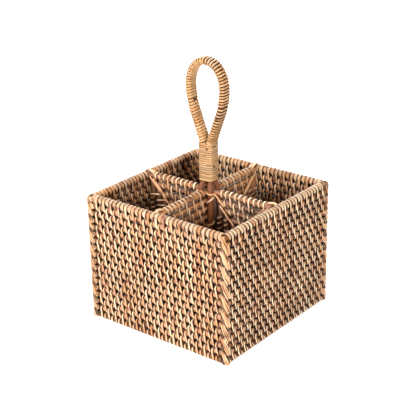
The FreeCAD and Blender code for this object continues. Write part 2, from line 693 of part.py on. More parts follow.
# Dividers: one from front to back, and two that meet it from the sides
strand_free = place["post_zone"] + size["divider_rod_diameter"] / 2
half_long = place["inside_y"] - size["seat_gap"]
long_divider = Divider("long_divider", Vector(0, -half_long, place["divider_top"]), NORTH, 2 * half_long,
                       lambda across: abs(across - half_long) < strand_free)
short_start = size["divider_rod_diameter"] / 2 + size["seat_gap"]
short_length = place["inside_x"] - size["seat_gap"] - short_start
dividers = [long_divider]
for side_name, east in (("left", -1), ("right", 1)):
    dividers.append(Divider(side_name + "_divider", Vector(east * short_start, 0, place["divider_top"]),
                            EAST * east, short_length,
                            lambda across: across + short_start < strand_free))
mitres = []
for divider in dividers:
    divider.rods()
    divider.weavers()
    mitres += divider.mitre_strands()
plain_feature("mitre_strands", mitres)

# Handle: two bent rods, the cane bound round them, its tacks, and the strips that tie it all together
loop_line = LoopLine()
handle_rod("front_handle_rod", -1)
handle_rod("back_handle_rod", 1)
loop_bindings()
collar_binding()
collar_tacks()
post_lashings()
rim_ties()

doc.recompute()
for thing in doc.Objects:
    if {"Invalid", "Error"} & set(thing.State):
        raise RuntimeError("%s did not compute: %s" % (thing.Label, thing.State))
for part in SUB_PARTS:
    if part.Shape.isNull() or not part.Shape.isValid() or part.Shape.Volume <= 0:
        raise RuntimeError("%s has no valid shape" % part.Label)

os.makedirs("parts", exist_ok=True)
for part in SUB_PARTS:
    part.Shape.exportStep(os.path.join("parts", part.Label + ".step"))
    box = part.Shape.BoundBox
    print("%-28s %3d solids %9.0f mm3  z %.2f to %.2f" % (part.Label, len(part.Shape.Solids), part.Shape.Volume,
                                                          box.ZMin, box.ZMax))
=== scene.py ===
"""Looks of a square woven rattan cutlery caddy with crossed dividers and a tall bound loop handle.

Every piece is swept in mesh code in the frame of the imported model: rods, strands twined over two rods and
under two, lashings round the corners, and flat cane wound round the handle. Lengths are in millimetres and
become metres when a mesh is made. +Z is up, the front wall faces -Y and the right wall +X.
"""

import logging
import math
from dataclasses import dataclass, field
from enum import Enum
from typing import Any, Callable, Iterator, Sequence

import bpy
import numpy as np
from mathutils import Matrix, Vector


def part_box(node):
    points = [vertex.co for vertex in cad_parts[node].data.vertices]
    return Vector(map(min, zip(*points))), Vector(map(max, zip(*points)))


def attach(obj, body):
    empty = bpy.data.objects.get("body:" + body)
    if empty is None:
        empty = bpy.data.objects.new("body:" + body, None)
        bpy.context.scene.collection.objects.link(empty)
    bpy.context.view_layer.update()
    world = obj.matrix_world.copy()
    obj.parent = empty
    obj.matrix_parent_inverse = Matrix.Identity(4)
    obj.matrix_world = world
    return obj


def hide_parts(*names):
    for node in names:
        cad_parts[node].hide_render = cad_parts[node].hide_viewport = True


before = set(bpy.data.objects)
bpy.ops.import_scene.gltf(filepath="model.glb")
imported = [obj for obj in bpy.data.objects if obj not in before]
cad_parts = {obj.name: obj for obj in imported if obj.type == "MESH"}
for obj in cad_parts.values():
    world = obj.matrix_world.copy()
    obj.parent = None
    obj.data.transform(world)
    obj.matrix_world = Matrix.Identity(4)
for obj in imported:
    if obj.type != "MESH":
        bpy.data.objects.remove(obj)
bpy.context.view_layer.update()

LOG = logging.getLogger("caddy")
MM = 0.001
UP = np.array((0.0, 0.0, 1.0))
EAST = np.array((1.0, 0.0, 0.0))
NORTH = np.array((0.0, 1.0, 0.0))
BODY = "root"
BAKE_MAP = "OFBake"
WHITE = (1.0, 1.0, 1.0, 1.0)

# Corners of a swept section
ROD_SIDES = 14
STRAND_SIDES = 8
TACK_SIDES = 12

# Steps of the finishes' noise in a metre: across a piece, across and along it, or over the whole caddy
FIBRE_STEPS = (1500.0, 1500.0, 60.0)
PATCH_STEPS = (120.0, 120.0, 45.0)
MARK_STEPS = (260.0, 260.0, 110.0)
BAND_STEPS = (12.0, 12.0, 75.0)
SHADE_NOISE_STEPS = 70.0
PORE_STEPS = 2600.0
BLOOM_STEPS = 95.0
WEAR_STEPS = 900.0

Array = np.ndarray
Colour = tuple[float, float, float]
Span = tuple[float, float]
Socket = bpy.types.NodeSocket


class Slot(Enum):
    """Material slots of the record."""

    ROD = "rattan_rod"
    BASE = "base_rod"
    STRAND = "strand"
    DIVIDER = "divider_rod"
    HANDLE = "handle_rod"
    CANE = "cane"
    TACK = "tack"


Materials = dict[Slot, bpy.types.Material]


def srgb(red: float, green: float, blue: float) -> tuple[float, float, float, float]:
    """Turn a colour as seen on a screen into the linear colour of a shader.

    Args:
        red: Red share, 0 to 1.
        green: Green share.
        blue: Blue share.

    Returns:
        Linear red, green, blue and an alpha of 1.
    """
    linear = [c / 12.92 if c <= 0.04045 else ((c + 0.055) / 1.055) ** 2.4 for c in (red, green, blue)]
    return (linear[0], linear[1], linear[2], 1.0)


def box_of(node: str) -> tuple[Array, Array]:
    """Give a node's lowest and highest corners in millimetres."""
    low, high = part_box(node)
    return np.array(low) / MM, np.array(high) / MM


def unit(vectors: Array) -> Array:
    """Scale vectors to length one."""
    return vectors / np.linalg.norm(vectors, axis=-1, keepdims=True)


def running(steps: Array) -> Array:
    """Add up steps, from zero."""
    return np.concatenate(([0.0], np.cumsum(steps)))


def distances(line: Array) -> Array:
    """Give each point's distance along a line of points."""
    return running(np.linalg.norm(np.diff(line, axis=0), axis=1))


def corner_angles(sides: int) -> Array:
    """Give the angles of a section's corners."""
    return 2.0 * math.pi * np.arange(sides) / sides


def wander(rng: np.random.Generator, distance: Array, step: float) -> Array:
    """Draw a smooth random line between -1 and 1.

    Args:
        rng: Source of the random draws.
        distance: Distances along the piece where the line is read.
        step: Distance between two random knots.

    Returns:
        One value for each distance.
    """
    reach = float(distance.max() - distance.min())
    knots = rng.uniform(-1.0, 1.0, int(reach / step) + 3)
    place = (distance - distance.min()) / step
    index = place.astype(int)
    share = (1.0 - np.cos(math.pi * (place - index))) / 2.0
    return knots[index] * (1.0 - share) + knots[index + 1] * share


def waver(rng: np.random.Generator, distance: Array, wave: Span) -> Array:
    """Draw a smooth random line of a wave's size, with its distance between two knots."""
    return wave[0] * wander(rng, distance, wave[1])


def spread(room: float, spacing: float) -> Array:
    """Give evenly spaced places, about that far apart, from edge to edge of a room about zero."""
    count = max(int(room // spacing), 1)
    return (np.arange(count) - (count - 1) / 2) * room / count


class NodeGraph:
    """Adds nodes to a shader tree and joins their sockets."""

    def __init__(self, tree: bpy.types.NodeTree) -> None:
        """Keep the tree that the nodes go into."""
        self.tree = tree

    def add(self, kind: str, inputs: dict[Any, Any] | None = None, **settings: Any) -> bpy.types.Node:
        """Add one node.

        Args:
            kind: Type name of the node.
            inputs: Sockets by name or number, each with a constant or with a socket to be linked from.
            **settings: Properties of the node.

        Returns:
            The new node.
        """
        node = self.tree.nodes.new(kind)
        for name, value in settings.items():
            setattr(node, name, value)
        self.fill(node, inputs or {})
        return node

    def fill(self, node: bpy.types.Node, inputs: dict[Any, Any]) -> None:
        """Set or link a node's inputs, given by name or number."""
        for name, value in inputs.items():
            if isinstance(value, bpy.types.NodeSocket):
                self.tree.links.new(value, node.inputs[name])
            else:
                node.inputs[name].default_value = value

    def attribute(self, name: str, output: str = "Fac") -> Socket:
        """Read a value that the mesh carries at its corners."""
        return self.add("ShaderNodeAttribute", attribute_name=name).outputs[output]

    def place(self) -> Socket:
        """Read the place on the caddy."""
        return self.add("ShaderNodeTexCoord").outputs["Object"]

    def stretch(self, place: Socket, factors: tuple[float, float, float]) -> Socket:
        """Scale a place along each axis."""
        return self.add("ShaderNodeVectorMath", {0: place, 1: factors}, operation="MULTIPLY").outputs[0]

    def noise(self, place: Socket, scale: float, detail: float) -> Socket:
        """Read a cloud of noise."""
        inputs = {"Vector": place, "Scale": scale, "Detail": detail}
        return self.add("ShaderNodeTexNoise", inputs).outputs["Fac"]

    def mix(self, share: Any, first: Any, second: Any, blend: str = "MIX") -> Socket:
        """Blend two colours."""
        inputs = {0: share, 6: first, 7: second}
        return self.add("ShaderNodeMix", inputs, data_type="RGBA", blend_type=blend).outputs[2]

    def math(self, operation: str, first: Any, second: Any = 0.0, clamp: bool = False) -> Socket:
        """Combine two numbers."""
        inputs = {0: first, 1: second}
        return self.add("ShaderNodeMath", inputs, operation=operation, use_clamp=clamp).outputs[0]

    def ramp(self, value: Any, low: float, high: float, to_low: float, to_high: float) -> Socket:
        """Map a range of numbers onto another, clamped."""
        inputs = {"Value": value, "From Min": low, "From Max": high, "To Min": to_low, "To Max": to_high}
        return self.add("ShaderNodeMapRange", inputs).outputs[0]

    def effect(self, group: bpy.types.NodeTree, inputs: dict[str, Any]) -> Any:
        """Use a shared effect and give its outputs, as sockets by name."""
        return self.add("ShaderNodeGroup", inputs, node_tree=group).outputs

    def given(self) -> Any:
        """Give a group's own inputs, as sockets by name."""
        return self.tree.nodes["Group Input"].outputs

    def put_out(self, **results: Socket) -> bpy.types.NodeTree:
        """Link results to a group's outputs by name and give the finished tree."""
        self.fill(self.tree.nodes["Group Output"], results)
        return self.tree


def new_group(name: str, inputs: Sequence[tuple[str, str]], outputs: Sequence[tuple[str, str]]) -> NodeGraph:
    """Start a shader node group.

    Args:
        name: Name of the group.
        inputs: Name and kind, such as Color or Float, of each input.
        outputs: The same for each output.

    Returns:
        A graph of the group's tree, which has its input and output nodes.
    """
    tree = bpy.data.node_groups.new(name, "ShaderNodeTree")
    for way, sockets in (("INPUT", inputs), ("OUTPUT", outputs)):
        for socket, kind in sockets:
            tree.interface.new_socket(name=socket, in_out=way, socket_type="NodeSocket" + kind)
    tree.nodes.new("NodeGroupInput")
    tree.nodes.new("NodeGroupOutput")
    return NodeGraph(tree)


def new_material(name: str) -> tuple[bpy.types.Material, NodeGraph, bpy.types.Node]:
    """Start a material.

    Args:
        name: Name of the material.

    Returns:
        The material, a graph of its tree and its shader.
    """
    material = bpy.data.materials.new(name)
    material.use_nodes = True
    return material, NodeGraph(material.node_tree), material.node_tree.nodes["Principled BSDF"]


def fibre_group() -> bpy.types.NodeTree:
    """Build the fibre effect: streaks along a rod or strand, its own tone, and the darker marks of its skin.

    Returns:
        A group that puts out the colour and the height of the fibres.
    """
    inputs = (("Pale", "Color"), ("Deep", "Color"), ("Mark", "Color"), ("Tone Spread", "Float"),
              ("Streak", "Float"), ("Marks", "Float"))
    graph = new_group("Rattan fibre", inputs, (("Color", "Color"), ("Height", "Float")))
    given = graph.given()
    grain = graph.attribute("grain", "Vector")
    fibres = graph.noise(graph.stretch(grain, FIBRE_STEPS), 1.0, 3.0)
    patches = graph.noise(graph.stretch(grain, PATCH_STEPS), 1.0, 2.0)
    tone = graph.math("SUBTRACT", graph.attribute("tone"), 0.5)
    own = graph.math("MULTIPLY", tone, given["Tone Spread"])
    streak = graph.math("MULTIPLY", graph.math("SUBTRACT", fibres, 0.5), given["Streak"])
    share = graph.math("ADD", graph.math("ADD", own, streak), patches, clamp=True)
    colour = graph.mix(share, given["Deep"], given["Pale"])
    blots = graph.noise(graph.stretch(grain, MARK_STEPS), 1.0, 1.0)
    mask = graph.math("MULTIPLY", graph.ramp(blots, 0.66, 0.74, 0.0, 1.0), given["Marks"])
    return graph.put_out(Color=graph.mix(mask, colour, given["Mark"]), Height=fibres)


def recess_group() -> bpy.types.NodeTree:
    """Build the recess effect: shade painted where the recess values put it, and pores where a piece is cut
    across.

    Returns:
        A group that takes a colour and puts out the colour with its painted shade and cut ends.
    """
    inputs = (("Color", "Color"), ("Stain and Shade", "Color"), ("Depth", "Float"), ("End", "Color"))
    graph = new_group("Weave recess", inputs, (("Color", "Color"),))
    given = graph.given()
    uneven = graph.ramp(graph.noise(graph.place(), SHADE_NOISE_STEPS, 3.0), 0.3, 0.7, 0.85, 1.15)
    # Painted shade: the recess values, made a little uneven, mix the colour towards the dark stain and shade
    # colour.
    depth = graph.math("MULTIPLY", graph.attribute("recess"), given["Depth"])
    shade_amount = graph.math("MULTIPLY", depth, uneven, clamp=True)
    colour = graph.mix(shade_amount, given["Color"], given["Stain and Shade"])
    across = graph.stretch(graph.attribute("grain", "Vector"), (1.0, 1.0, 0.0))
    pores = graph.add("ShaderNodeTexVoronoi", {"Vector": across, "Scale": PORE_STEPS})
    pore = graph.ramp(pores.outputs["Distance"], 0.1, 0.45, 0.45, 1.0)
    ended = graph.mix(pore, given["Stain and Shade"], given["End"])
    return graph.put_out(Color=graph.mix(graph.attribute("cut"), colour, ended))


def age_group() -> bpy.types.NodeTree:
    """Build the age effect: tone in long level bands over the whole caddy, and small mauve-brown blooms.

    Returns:
        A group that takes a colour and two amounts and puts out the aged colour.
    """
    inputs = (("Color", "Color"), ("Amount", "Float"), ("Bloom", "Float"))
    graph = new_group("Age", inputs, (("Color", "Color"),))
    given = graph.given()
    place = graph.place()
    shade = graph.ramp(graph.noise(graph.stretch(place, BAND_STEPS), 1.0, 2.0), 0.36, 0.56, 0.5, 1.0)
    grey = graph.add("ShaderNodeCombineColor", {"Red": shade, "Green": shade, "Blue": shade})
    aged = graph.mix(given["Amount"], given["Color"], grey.outputs[0], "MULTIPLY")
    blooms = graph.noise(place, BLOOM_STEPS, 1.0)
    bloom = graph.math("MULTIPLY", graph.ramp(blooms, 0.62, 0.68, 0.0, 1.0), given["Bloom"])
    return graph.put_out(Color=graph.mix(bloom, aged, srgb(0.66, 0.50, 0.49), "MULTIPLY"))


@dataclass(frozen=True)
class RattanFinish:
    """One rattan finish: its colours, as seen on a screen, and how far they vary."""

    slot: Slot
    pale: Colour
    deep: Colour
    stain_and_shade: Colour
    end: Colour
    tone_spread: float = 0.7
    streak: float = 0.6
    marks: float = 0.0
    depth: float = 0.8
    age: float = 0.5
    bloom: float = 0.0
    gloss: float = 0.3
    smooth: float = 0.42
    rough: float = 0.62
    relief: float = 0.25
    fibre_height: float = 0.2

    def material(self, groups: dict[str, bpy.types.NodeTree]) -> bpy.types.Material:
        """Make the material.

        Args:
            groups: The shared effects by name.

        Returns:
            A material with fibres, age, painted recess shade and cut ends.
        """
        material, graph, shader = new_material("caddy_" + self.slot.value)
        fibre = graph.effect(groups["fibre"], {
            "Pale": srgb(*self.pale), "Deep": srgb(*self.deep), "Mark": srgb(*self.stain_and_shade),
            "Tone Spread": self.tone_spread, "Streak": self.streak, "Marks": self.marks})
        age = graph.effect(groups["age"], {
            "Color": fibre["Color"], "Amount": self.age, "Bloom": self.bloom})
        recess = graph.effect(groups["recess"], {
            "Color": age["Color"], "Stain and Shade": srgb(*self.stain_and_shade), "Depth": self.depth, "End": srgb(*self.end)})
        height = fibre["Height"]
        bump = graph.add("ShaderNodeBump", {"Height": height, "Strength": self.relief,
                                            "Distance": self.fibre_height * MM})
        graph.fill(shader, {"Base Color": recess["Color"],
                            "Roughness": graph.ramp(height, 0.3, 0.7, self.rough, self.smooth),
                            "Normal": bump.outputs["Normal"], "Specular IOR Level": self.gloss})
        return material


@dataclass(frozen=True)
class TackFinish:
    """Blackened steel with worn spots."""

    slot: Slot = Slot.TACK
    dark: Colour = (0.20, 0.12, 0.08)
    worn: Colour = (0.42, 0.28, 0.20)
    age: float = 0.4
    metal: float = 0.6

    def material(self, groups: dict[str, bpy.types.NodeTree]) -> bpy.types.Material:
        """Make the material.

        Args:
            groups: The shared effects by name.

        Returns:
            A dark metal material with uneven wear.
        """
        material, graph, shader = new_material("caddy_" + self.slot.value)
        spots = graph.noise(graph.place(), WEAR_STEPS, 3.0)
        wear = graph.ramp(spots, 0.45, 0.65, 0.0, 1.0)
        colour = graph.mix(wear, srgb(*self.dark), srgb(*self.worn))
        age = graph.effect(groups["age"], {"Color": colour, "Amount": self.age})
        graph.fill(shader, {"Base Color": age["Color"], "Metallic": self.metal,
                            "Roughness": graph.ramp(spots, 0.3, 0.7, 0.6, 0.38)})
        return material


# stain_and_shade is the colour of the skin marks and the cut ends' pores, and also of the shade painted in
# the weave; depth is how strongly that shade is painted.
FINISHES = (
    RattanFinish(Slot.ROD, pale=(0.86, 0.65, 0.52), deep=(0.68, 0.40, 0.19), stain_and_shade=(0.07, 0.022, 0.01),
                 end=(0.86, 0.68, 0.50), depth=0.97, bloom=0.7, gloss=0.15, streak=0.9, relief=0.45),
    RattanFinish(Slot.BASE, pale=(0.54, 0.36, 0.24), deep=(0.34, 0.20, 0.13), stain_and_shade=(0.12, 0.06, 0.03),
                 end=(0.42, 0.30, 0.22), depth=0.6, gloss=0.2),
    RattanFinish(Slot.STRAND, pale=(1.0, 0.88, 0.72), deep=(0.86, 0.58, 0.36), stain_and_shade=(0.17, 0.07, 0.03),
                 end=(0.92, 0.76, 0.56), depth=1.0, bloom=0.8, tone_spread=0.8, smooth=0.34, rough=0.52),
    RattanFinish(Slot.DIVIDER, pale=(0.80, 0.54, 0.33), deep=(0.58, 0.43, 0.36), stain_and_shade=(0.10, 0.04, 0.02),
                 end=(0.66, 0.50, 0.37), tone_spread=1.0, streak=1.6, relief=0.8, rough=0.66, smooth=0.46,
                 gloss=0.2),
    RattanFinish(Slot.HANDLE, pale=(0.62, 0.38, 0.23), deep=(0.40, 0.21, 0.12), stain_and_shade=(0.12, 0.05, 0.03),
                 end=(0.60, 0.42, 0.26)),
    RattanFinish(Slot.CANE, pale=(0.90, 0.75, 0.57), deep=(0.72, 0.52, 0.32), stain_and_shade=(0.24, 0.12, 0.06),
                 end=(0.85, 0.66, 0.42), marks=0.7, depth=1.0, smooth=0.32, rough=0.5, relief=0.15),
    TackFinish(),
)


@dataclass(frozen=True)
class Growth:
    """How a rod grew: the low rings along it, and how far it bows and swells."""

    first_ring: Span = (15.0, 90.0)
    ring_step: Span = (75.0, 130.0)
    ring_rows: tuple[float, ...] = (-1.6, -0.8, -0.25, 0.25, 0.8, 1.6)
    ring_rise: float = 0.045
    ring_half: float = 0.7
    end_room: float = 6.0
    bow_step: float = 38.0
    bow_ease: float = 8.0
    swell: float = 0.02
    swell_step: float = 17.0
    bevel: float = 0.35


class SweptMesh:
    """Gathers swept rods, strands and strips into the mesh of one piece."""

    END_SHRINK = 0.72
    GRAIN_SPREAD = 0.37
    MAP_ALONG = (0.03, 0.97)
    MAP_ROUND = (0.06, 0.94)
    MAP_ENDS = ((0.026, 0.004), (0.974, 0.996))
    MAP_ROWS = 40.0

    def __init__(self, seed: int) -> None:
        """Start an empty mesh with its own source of random draws."""
        self.rng = np.random.default_rng(seed)
        self.points: list[Array] = []
        self.quads: list[Array] = []
        self.fans: list[Array] = []
        self.quad_maps: list[Array] = []
        self.fan_maps: list[Array] = []
        self.values: dict[str, list[Array]] = {"tone": [], "recess": [], "cut": [], "grain": []}
        self.count = 0
        self.sweeps = 0

    def sweep(self, line: Array, wide: Array, half_wide: Array | float, half_thick: Array | float,
              recess: Array | float = 0.0, sides: int = STRAND_SIDES, squareness: float = 2.0,
              tone: Array | float | None = None, bevel: float = 0.2, shade: float = 0.0) -> None:
        """Sweep a rounded section along a line and close both ends.

        Args:
            line: Points of the section's middle, one row each.
            wide: Direction of the section's width at each point.
            half_wide: Half of the width, at each point or for all.
            half_thick: Half of the thickness, at each point or for all.
            recess: How much shade is painted at each point, 0 to 1, for all, along the line or for each
                corner.
            sides: Number of corners of the section.
            squareness: 2 for an oval, more for a flatter strip.
            tone: The piece's own tone, 0 to 1, at each point or for all, or none for a random one.
            bevel: How far the ends are rounded off.
            shade: How much shade is painted on the section's thick sides, most on the side that thick points
                to.
        """
        count = len(line)
        way = unit(np.gradient(line, axis=0))
        wide = np.broadcast_to(wide, line.shape)
        wide = unit(wide - way * np.sum(wide * way, axis=1, keepdims=True))
        thick = np.cross(way, wide)
        half_wide = np.broadcast_to(half_wide, count).astype(float)
        half_thick = np.broadcast_to(half_thick, count).astype(float)
        recess = np.reshape(recess, (-1, 1)) if np.ndim(recess) < 2 else recess
        recess = np.broadcast_to(recess, (count, sides)).astype(float)
        along = distances(line)
        middle = np.concatenate((line[:1] - way[:1] * bevel, line, line[-1:] + way[-1:] * bevel))
        shrink = np.concatenate(([self.END_SHRINK], np.ones(count), [self.END_SHRINK]))
        pick = np.concatenate(([0], np.arange(count), [count - 1]))
        turn = corner_angles(sides)
        power = 2.0 / squareness
        across = np.sign(np.cos(turn)) * np.abs(np.cos(turn)) ** power
        out = np.sign(np.sin(turn)) * np.abs(np.sin(turn)) ** power
        flat_x = (half_wide[pick] * shrink)[:, None] * across
        flat_y = (half_thick[pick] * shrink)[:, None] * out
        rings = (middle[:, None] + wide[pick][:, None] * flat_x[..., None]
                 + thick[pick][:, None] * flat_y[..., None])
        tips = np.stack((middle[0] - way[0] * bevel / 3, middle[-1] + way[-1] * bevel / 3))
        self.points += [rings.reshape(-1, 3), tips]
        self._join(count + 2, sides)
        seed = self.rng.uniform(0.0, 1.0, 3)
        own = np.broadcast_to(seed[0] if tone is None else tone, count)
        grain = np.stack((flat_x.ravel(), flat_y.ravel(), np.repeat(along[pick], sides)), axis=-1)
        grain = np.concatenate((grain, [[0.0, 0.0, 0.0], [0.0, 0.0, along[-1]]])) * MM
        cut = np.zeros((count + 2, sides))
        cut[[0, -1]] = 1.0
        # Painted shade on the thick sides, heavier on the one that thick points to, a level rod's underside.
        turned = np.maximum(np.abs(np.sin(turn)) ** 3, 0.9 * np.clip(np.sin(turn), 0.0, 1.0) ** 1.2)
        deep = np.clip(recess[pick] + shade * turned, 0.0, 1.0)
        self.values["tone"].append(np.concatenate((np.repeat(own[pick], sides), own[[0, -1]])))
        self.values["recess"].append(np.concatenate((deep.ravel(), recess[[0, -1]].mean(axis=1))))
        self.values["cut"].append(np.concatenate((cut.ravel(), [1.0, 1.0])))
        self.values["grain"].append(grain + seed * self.GRAIN_SPREAD)
        self.sweeps += 1

    def _join(self, rings: int, sides: int) -> None:
        """Join a sweep's rings with faces, close its two ends, and lay its faces out in the bake map.

        Args:
            rings: Number of rings of the sweep.
            sides: Number of corners of each ring.
        """
        first = self.count
        tip = first + rings * sides
        last = tip - sides
        self.count = tip + 2
        ring = np.arange(rings - 1)[:, None] * sides
        edge = np.arange(sides)
        after = (edge + 1) % sides
        quads = np.stack((ring + edge, ring + after, ring + sides + after, ring + sides + edge), axis=-1)
        self.quads.append(first + quads.reshape(-1, 4))
        start_fan = np.stack((first + after, first + edge, np.full(sides, tip)), axis=-1)
        end_fan = np.stack((last + edge, last + after, np.full(sides, tip + 1)), axis=-1)
        self.fans.append(np.concatenate((start_fan, end_fan)))
        along = np.linspace(*self.MAP_ALONG, rings)
        up = np.linspace(*self.MAP_ROUND, sides + 1)
        left, low = np.meshgrid(along[:-1], up[:-1], indexing="ij")
        wide, tall = np.diff(along)[0], np.diff(up)[0]
        steps = ((0, 0), (0, 1), (1, 1), (1, 0))
        corners = [np.stack((left + i * wide, low + k * tall), -1) for i, k in steps]
        self.quad_maps.append(np.stack(corners, axis=2).reshape(-1, 4, 2))
        fans = []
        for (rim, point), (one, two) in zip(self.MAP_ENDS, ((up[1:], up[:-1]), (up[:-1], up[1:]))):
            triangle = ((np.full(sides, rim), one), (np.full(sides, rim), two),
                        (np.full(sides, point), (one + two) / 2))
            fans.append(np.stack([np.stack(corner, -1) for corner in triangle], axis=1))
        self.fan_maps.append(np.concatenate(fans))

    def rod(self, start: Array, end: Array, radius: float, bow: float, tall: float = 1.0,
            tone: float | None = None, flat_below: float | None = None, shade: float = 0.0, step: float = 5.0,
            stain_and_shade: Callable[[Array], tuple[Array, Array]] | None = None) -> None:
        """Add one natural rod: a little bowed, uneven in thickness, with a low ring here and there.

        Args:
            start: Middle of one cut end.
            end: Middle of the other.
            radius: Mean radius.
            bow: How far the middle strays to the side.
            tall: How much taller than wide the rod is.
            tone: The rod's own tone, or none for a random one.
            flat_below: Height under which the rod is planed flat, if it is.
            shade: How much shade is painted on the sides that face the next rods, most on the underside.
            step: Distance between two rings.
            stain_and_shade: Gives the painted shade of the outer and the inner face by distance from the
                start, if any.
        """
        growth = Growth()
        length = float(np.linalg.norm(end - start))
        distance = np.linspace(0.0, length, max(int(length / step), 4) + 1)
        first = self.rng.uniform(*growth.first_ring)
        knuckles = np.arange(first, length - growth.end_room, self.rng.uniform(*growth.ring_step))
        around = (knuckles[:, None] + np.array(growth.ring_rows)).ravel()
        distance = np.unique(np.concatenate((distance, around)))
        distance = distance[(distance >= 0.0) & (distance <= length)]
        way = (end - start) / length
        side = unit(np.cross(way, UP if abs(way[2]) < 0.9 else EAST))
        rise = np.cross(way, side)
        ease = np.minimum(1.0, np.minimum(distance, length - distance) / growth.bow_ease)
        line = start + way * distance[:, None]
        for stray in (side, rise):
            line = line + stray * (bow * ease * wander(self.rng, distance, growth.bow_step))[:, None]
        swell = 1.0 + growth.swell * wander(self.rng, distance, growth.swell_step)
        for knuckle in knuckles:
            swell = swell + growth.ring_rise * np.exp(-((distance - knuckle) / growth.ring_half) ** 2)
        radii = radius * swell
        recess: Array | float = 0.0
        if stain_and_shade is not None:
            outer, inner = stain_and_shade(distance)
            faces_out = np.cos(corner_angles(ROD_SIDES)) > 0.0
            recess = np.where(faces_out, outer[:, None], inner[:, None])
        self.sweep(line, side, radii, radii * tall, recess=recess, sides=ROD_SIDES, tone=tone,
                   bevel=growth.bevel, shade=shade)
        if flat_below is not None:
            for block in self.points[-2:]:
                block[:, 2] = np.maximum(block[:, 2], flat_below)

    def build(self, node: str, slot: Slot, materials: Materials) -> None:
        """Make the piece, give it its finish and put it in the place of its node.

        Args:
            node: Name of the node that the piece stands for.
            slot: The record's slot.
            materials: The finished materials.
        """
        points = np.concatenate(self.points) * MM
        quads = np.concatenate(self.quads)
        fans = np.concatenate(self.fans)
        corners = np.concatenate((quads.ravel(), fans.ravel())).astype(np.int32)
        sizes = np.concatenate((np.full(len(quads), 4), np.full(len(fans), 3))).astype(np.int32)
        mesh = bpy.data.meshes.new("rattan_" + node)
        mesh.vertices.add(len(points))
        mesh.vertices.foreach_set("co", points.astype(np.float32).ravel())
        mesh.loops.add(len(corners))
        mesh.loops.foreach_set("vertex_index", corners)
        mesh.polygons.add(len(sizes))
        mesh.polygons.foreach_set("loop_start", running(sizes)[:-1].astype(np.int32))
        mesh.polygons.foreach_set("use_smooth", np.ones(len(sizes), bool))
        mesh.update(calc_edges=True)
        mesh.validate()
        for name, blocks in self.values.items():
            data = np.concatenate(blocks).astype(np.float32)
            kind, key = ("FLOAT_VECTOR", "vector") if data.ndim == 2 else ("FLOAT", "value")
            mesh.attributes.new(name, kind, "POINT").data.foreach_set(key, data.ravel())
        self._set_bake_map(mesh)
        mesh.materials.append(materials[slot])
        piece = bpy.data.objects.new("rattan_" + node, mesh)
        bpy.context.scene.collection.objects.link(piece)
        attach(piece, BODY)
        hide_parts(node)
        LOG.info("%s: %d sweeps, %d faces", piece.name, self.sweeps, len(sizes))

    def _set_bake_map(self, mesh: bpy.types.Mesh) -> None:
        """Give each sweep a row of its own in the bake map."""
        columns = max(1, round(math.sqrt(self.sweeps / self.MAP_ROWS)))
        rows = math.ceil(self.sweeps / columns)
        parts = []
        for maps in (self.quad_maps, self.fan_maps):
            for number, block in enumerate(maps):
                corner = np.array((number // rows / columns, number % rows / rows))
                parts.append((corner + block * np.array((1.0 / columns, 1.0 / rows))).reshape(-1, 2))
        layer = mesh.uv_layers.new(name=BAKE_MAP)
        layer.data.foreach_set("uv", np.concatenate(parts).astype(np.float32).ravel())


@dataclass(frozen=True)
class Strand:
    """Sizes and habits of the split strand that the caddy is woven with.

    hook is the strand's sway over a stitch, from its top to its foot. narrow and squeeze are how far it draws
    in where it dips, inner_shade is the shade painted on its inner face, edge the shade painted on its two
    edges, crown is how much wider it lies over the rim and crown_darkening how much darker it is there.
    """

    width: float = 2.1
    thickness: float = 1.1
    slack: float = 0.3
    sway: float = 1.3
    hook: tuple[float, ...] = (-0.5, -0.86, -1.08, -0.25, 0.6, 0.8)
    narrow: float = 0.3
    squeeze: float = 0.4
    sag: float = 0.12
    looseness: float = 0.22
    stray: float = 0.28
    stray_step: float = 21.0
    offset: float = 0.2
    uneven: float = 0.09
    wave: float = 0.06
    wave_step: float = 13.0
    tones: Span = (0.15, 0.85)
    tone_wave: float = 0.35
    tone_step: float = 16.0
    inner_shade: float = 0.0
    crown: float = 1.0
    crown_darkening: float = 0.4
    edge: float = 0.7
    squareness: float = 2.5

    @property
    def lift(self) -> float:
        """Distance from a rod's surface to the strand's middle."""
        return self.thickness / 2 + self.slack

    def shade_amount(self, recess: Array) -> Array:
        """Paint shade on the strand's two edges.

        Args:
            recess: The painted shade along the strand.

        Returns:
            The painted shade of each corner along the strand.
        """
        edges = self.edge * np.abs(np.cos(corner_angles(STRAND_SIDES))) ** 6
        return np.maximum(recess[:, None], edges)

    def clean(self, line: Array) -> Array:
        """Give the painted shade of a strand that lies on top all along a line: on its edges only."""
        return self.shade_amount(np.zeros(len(line)))


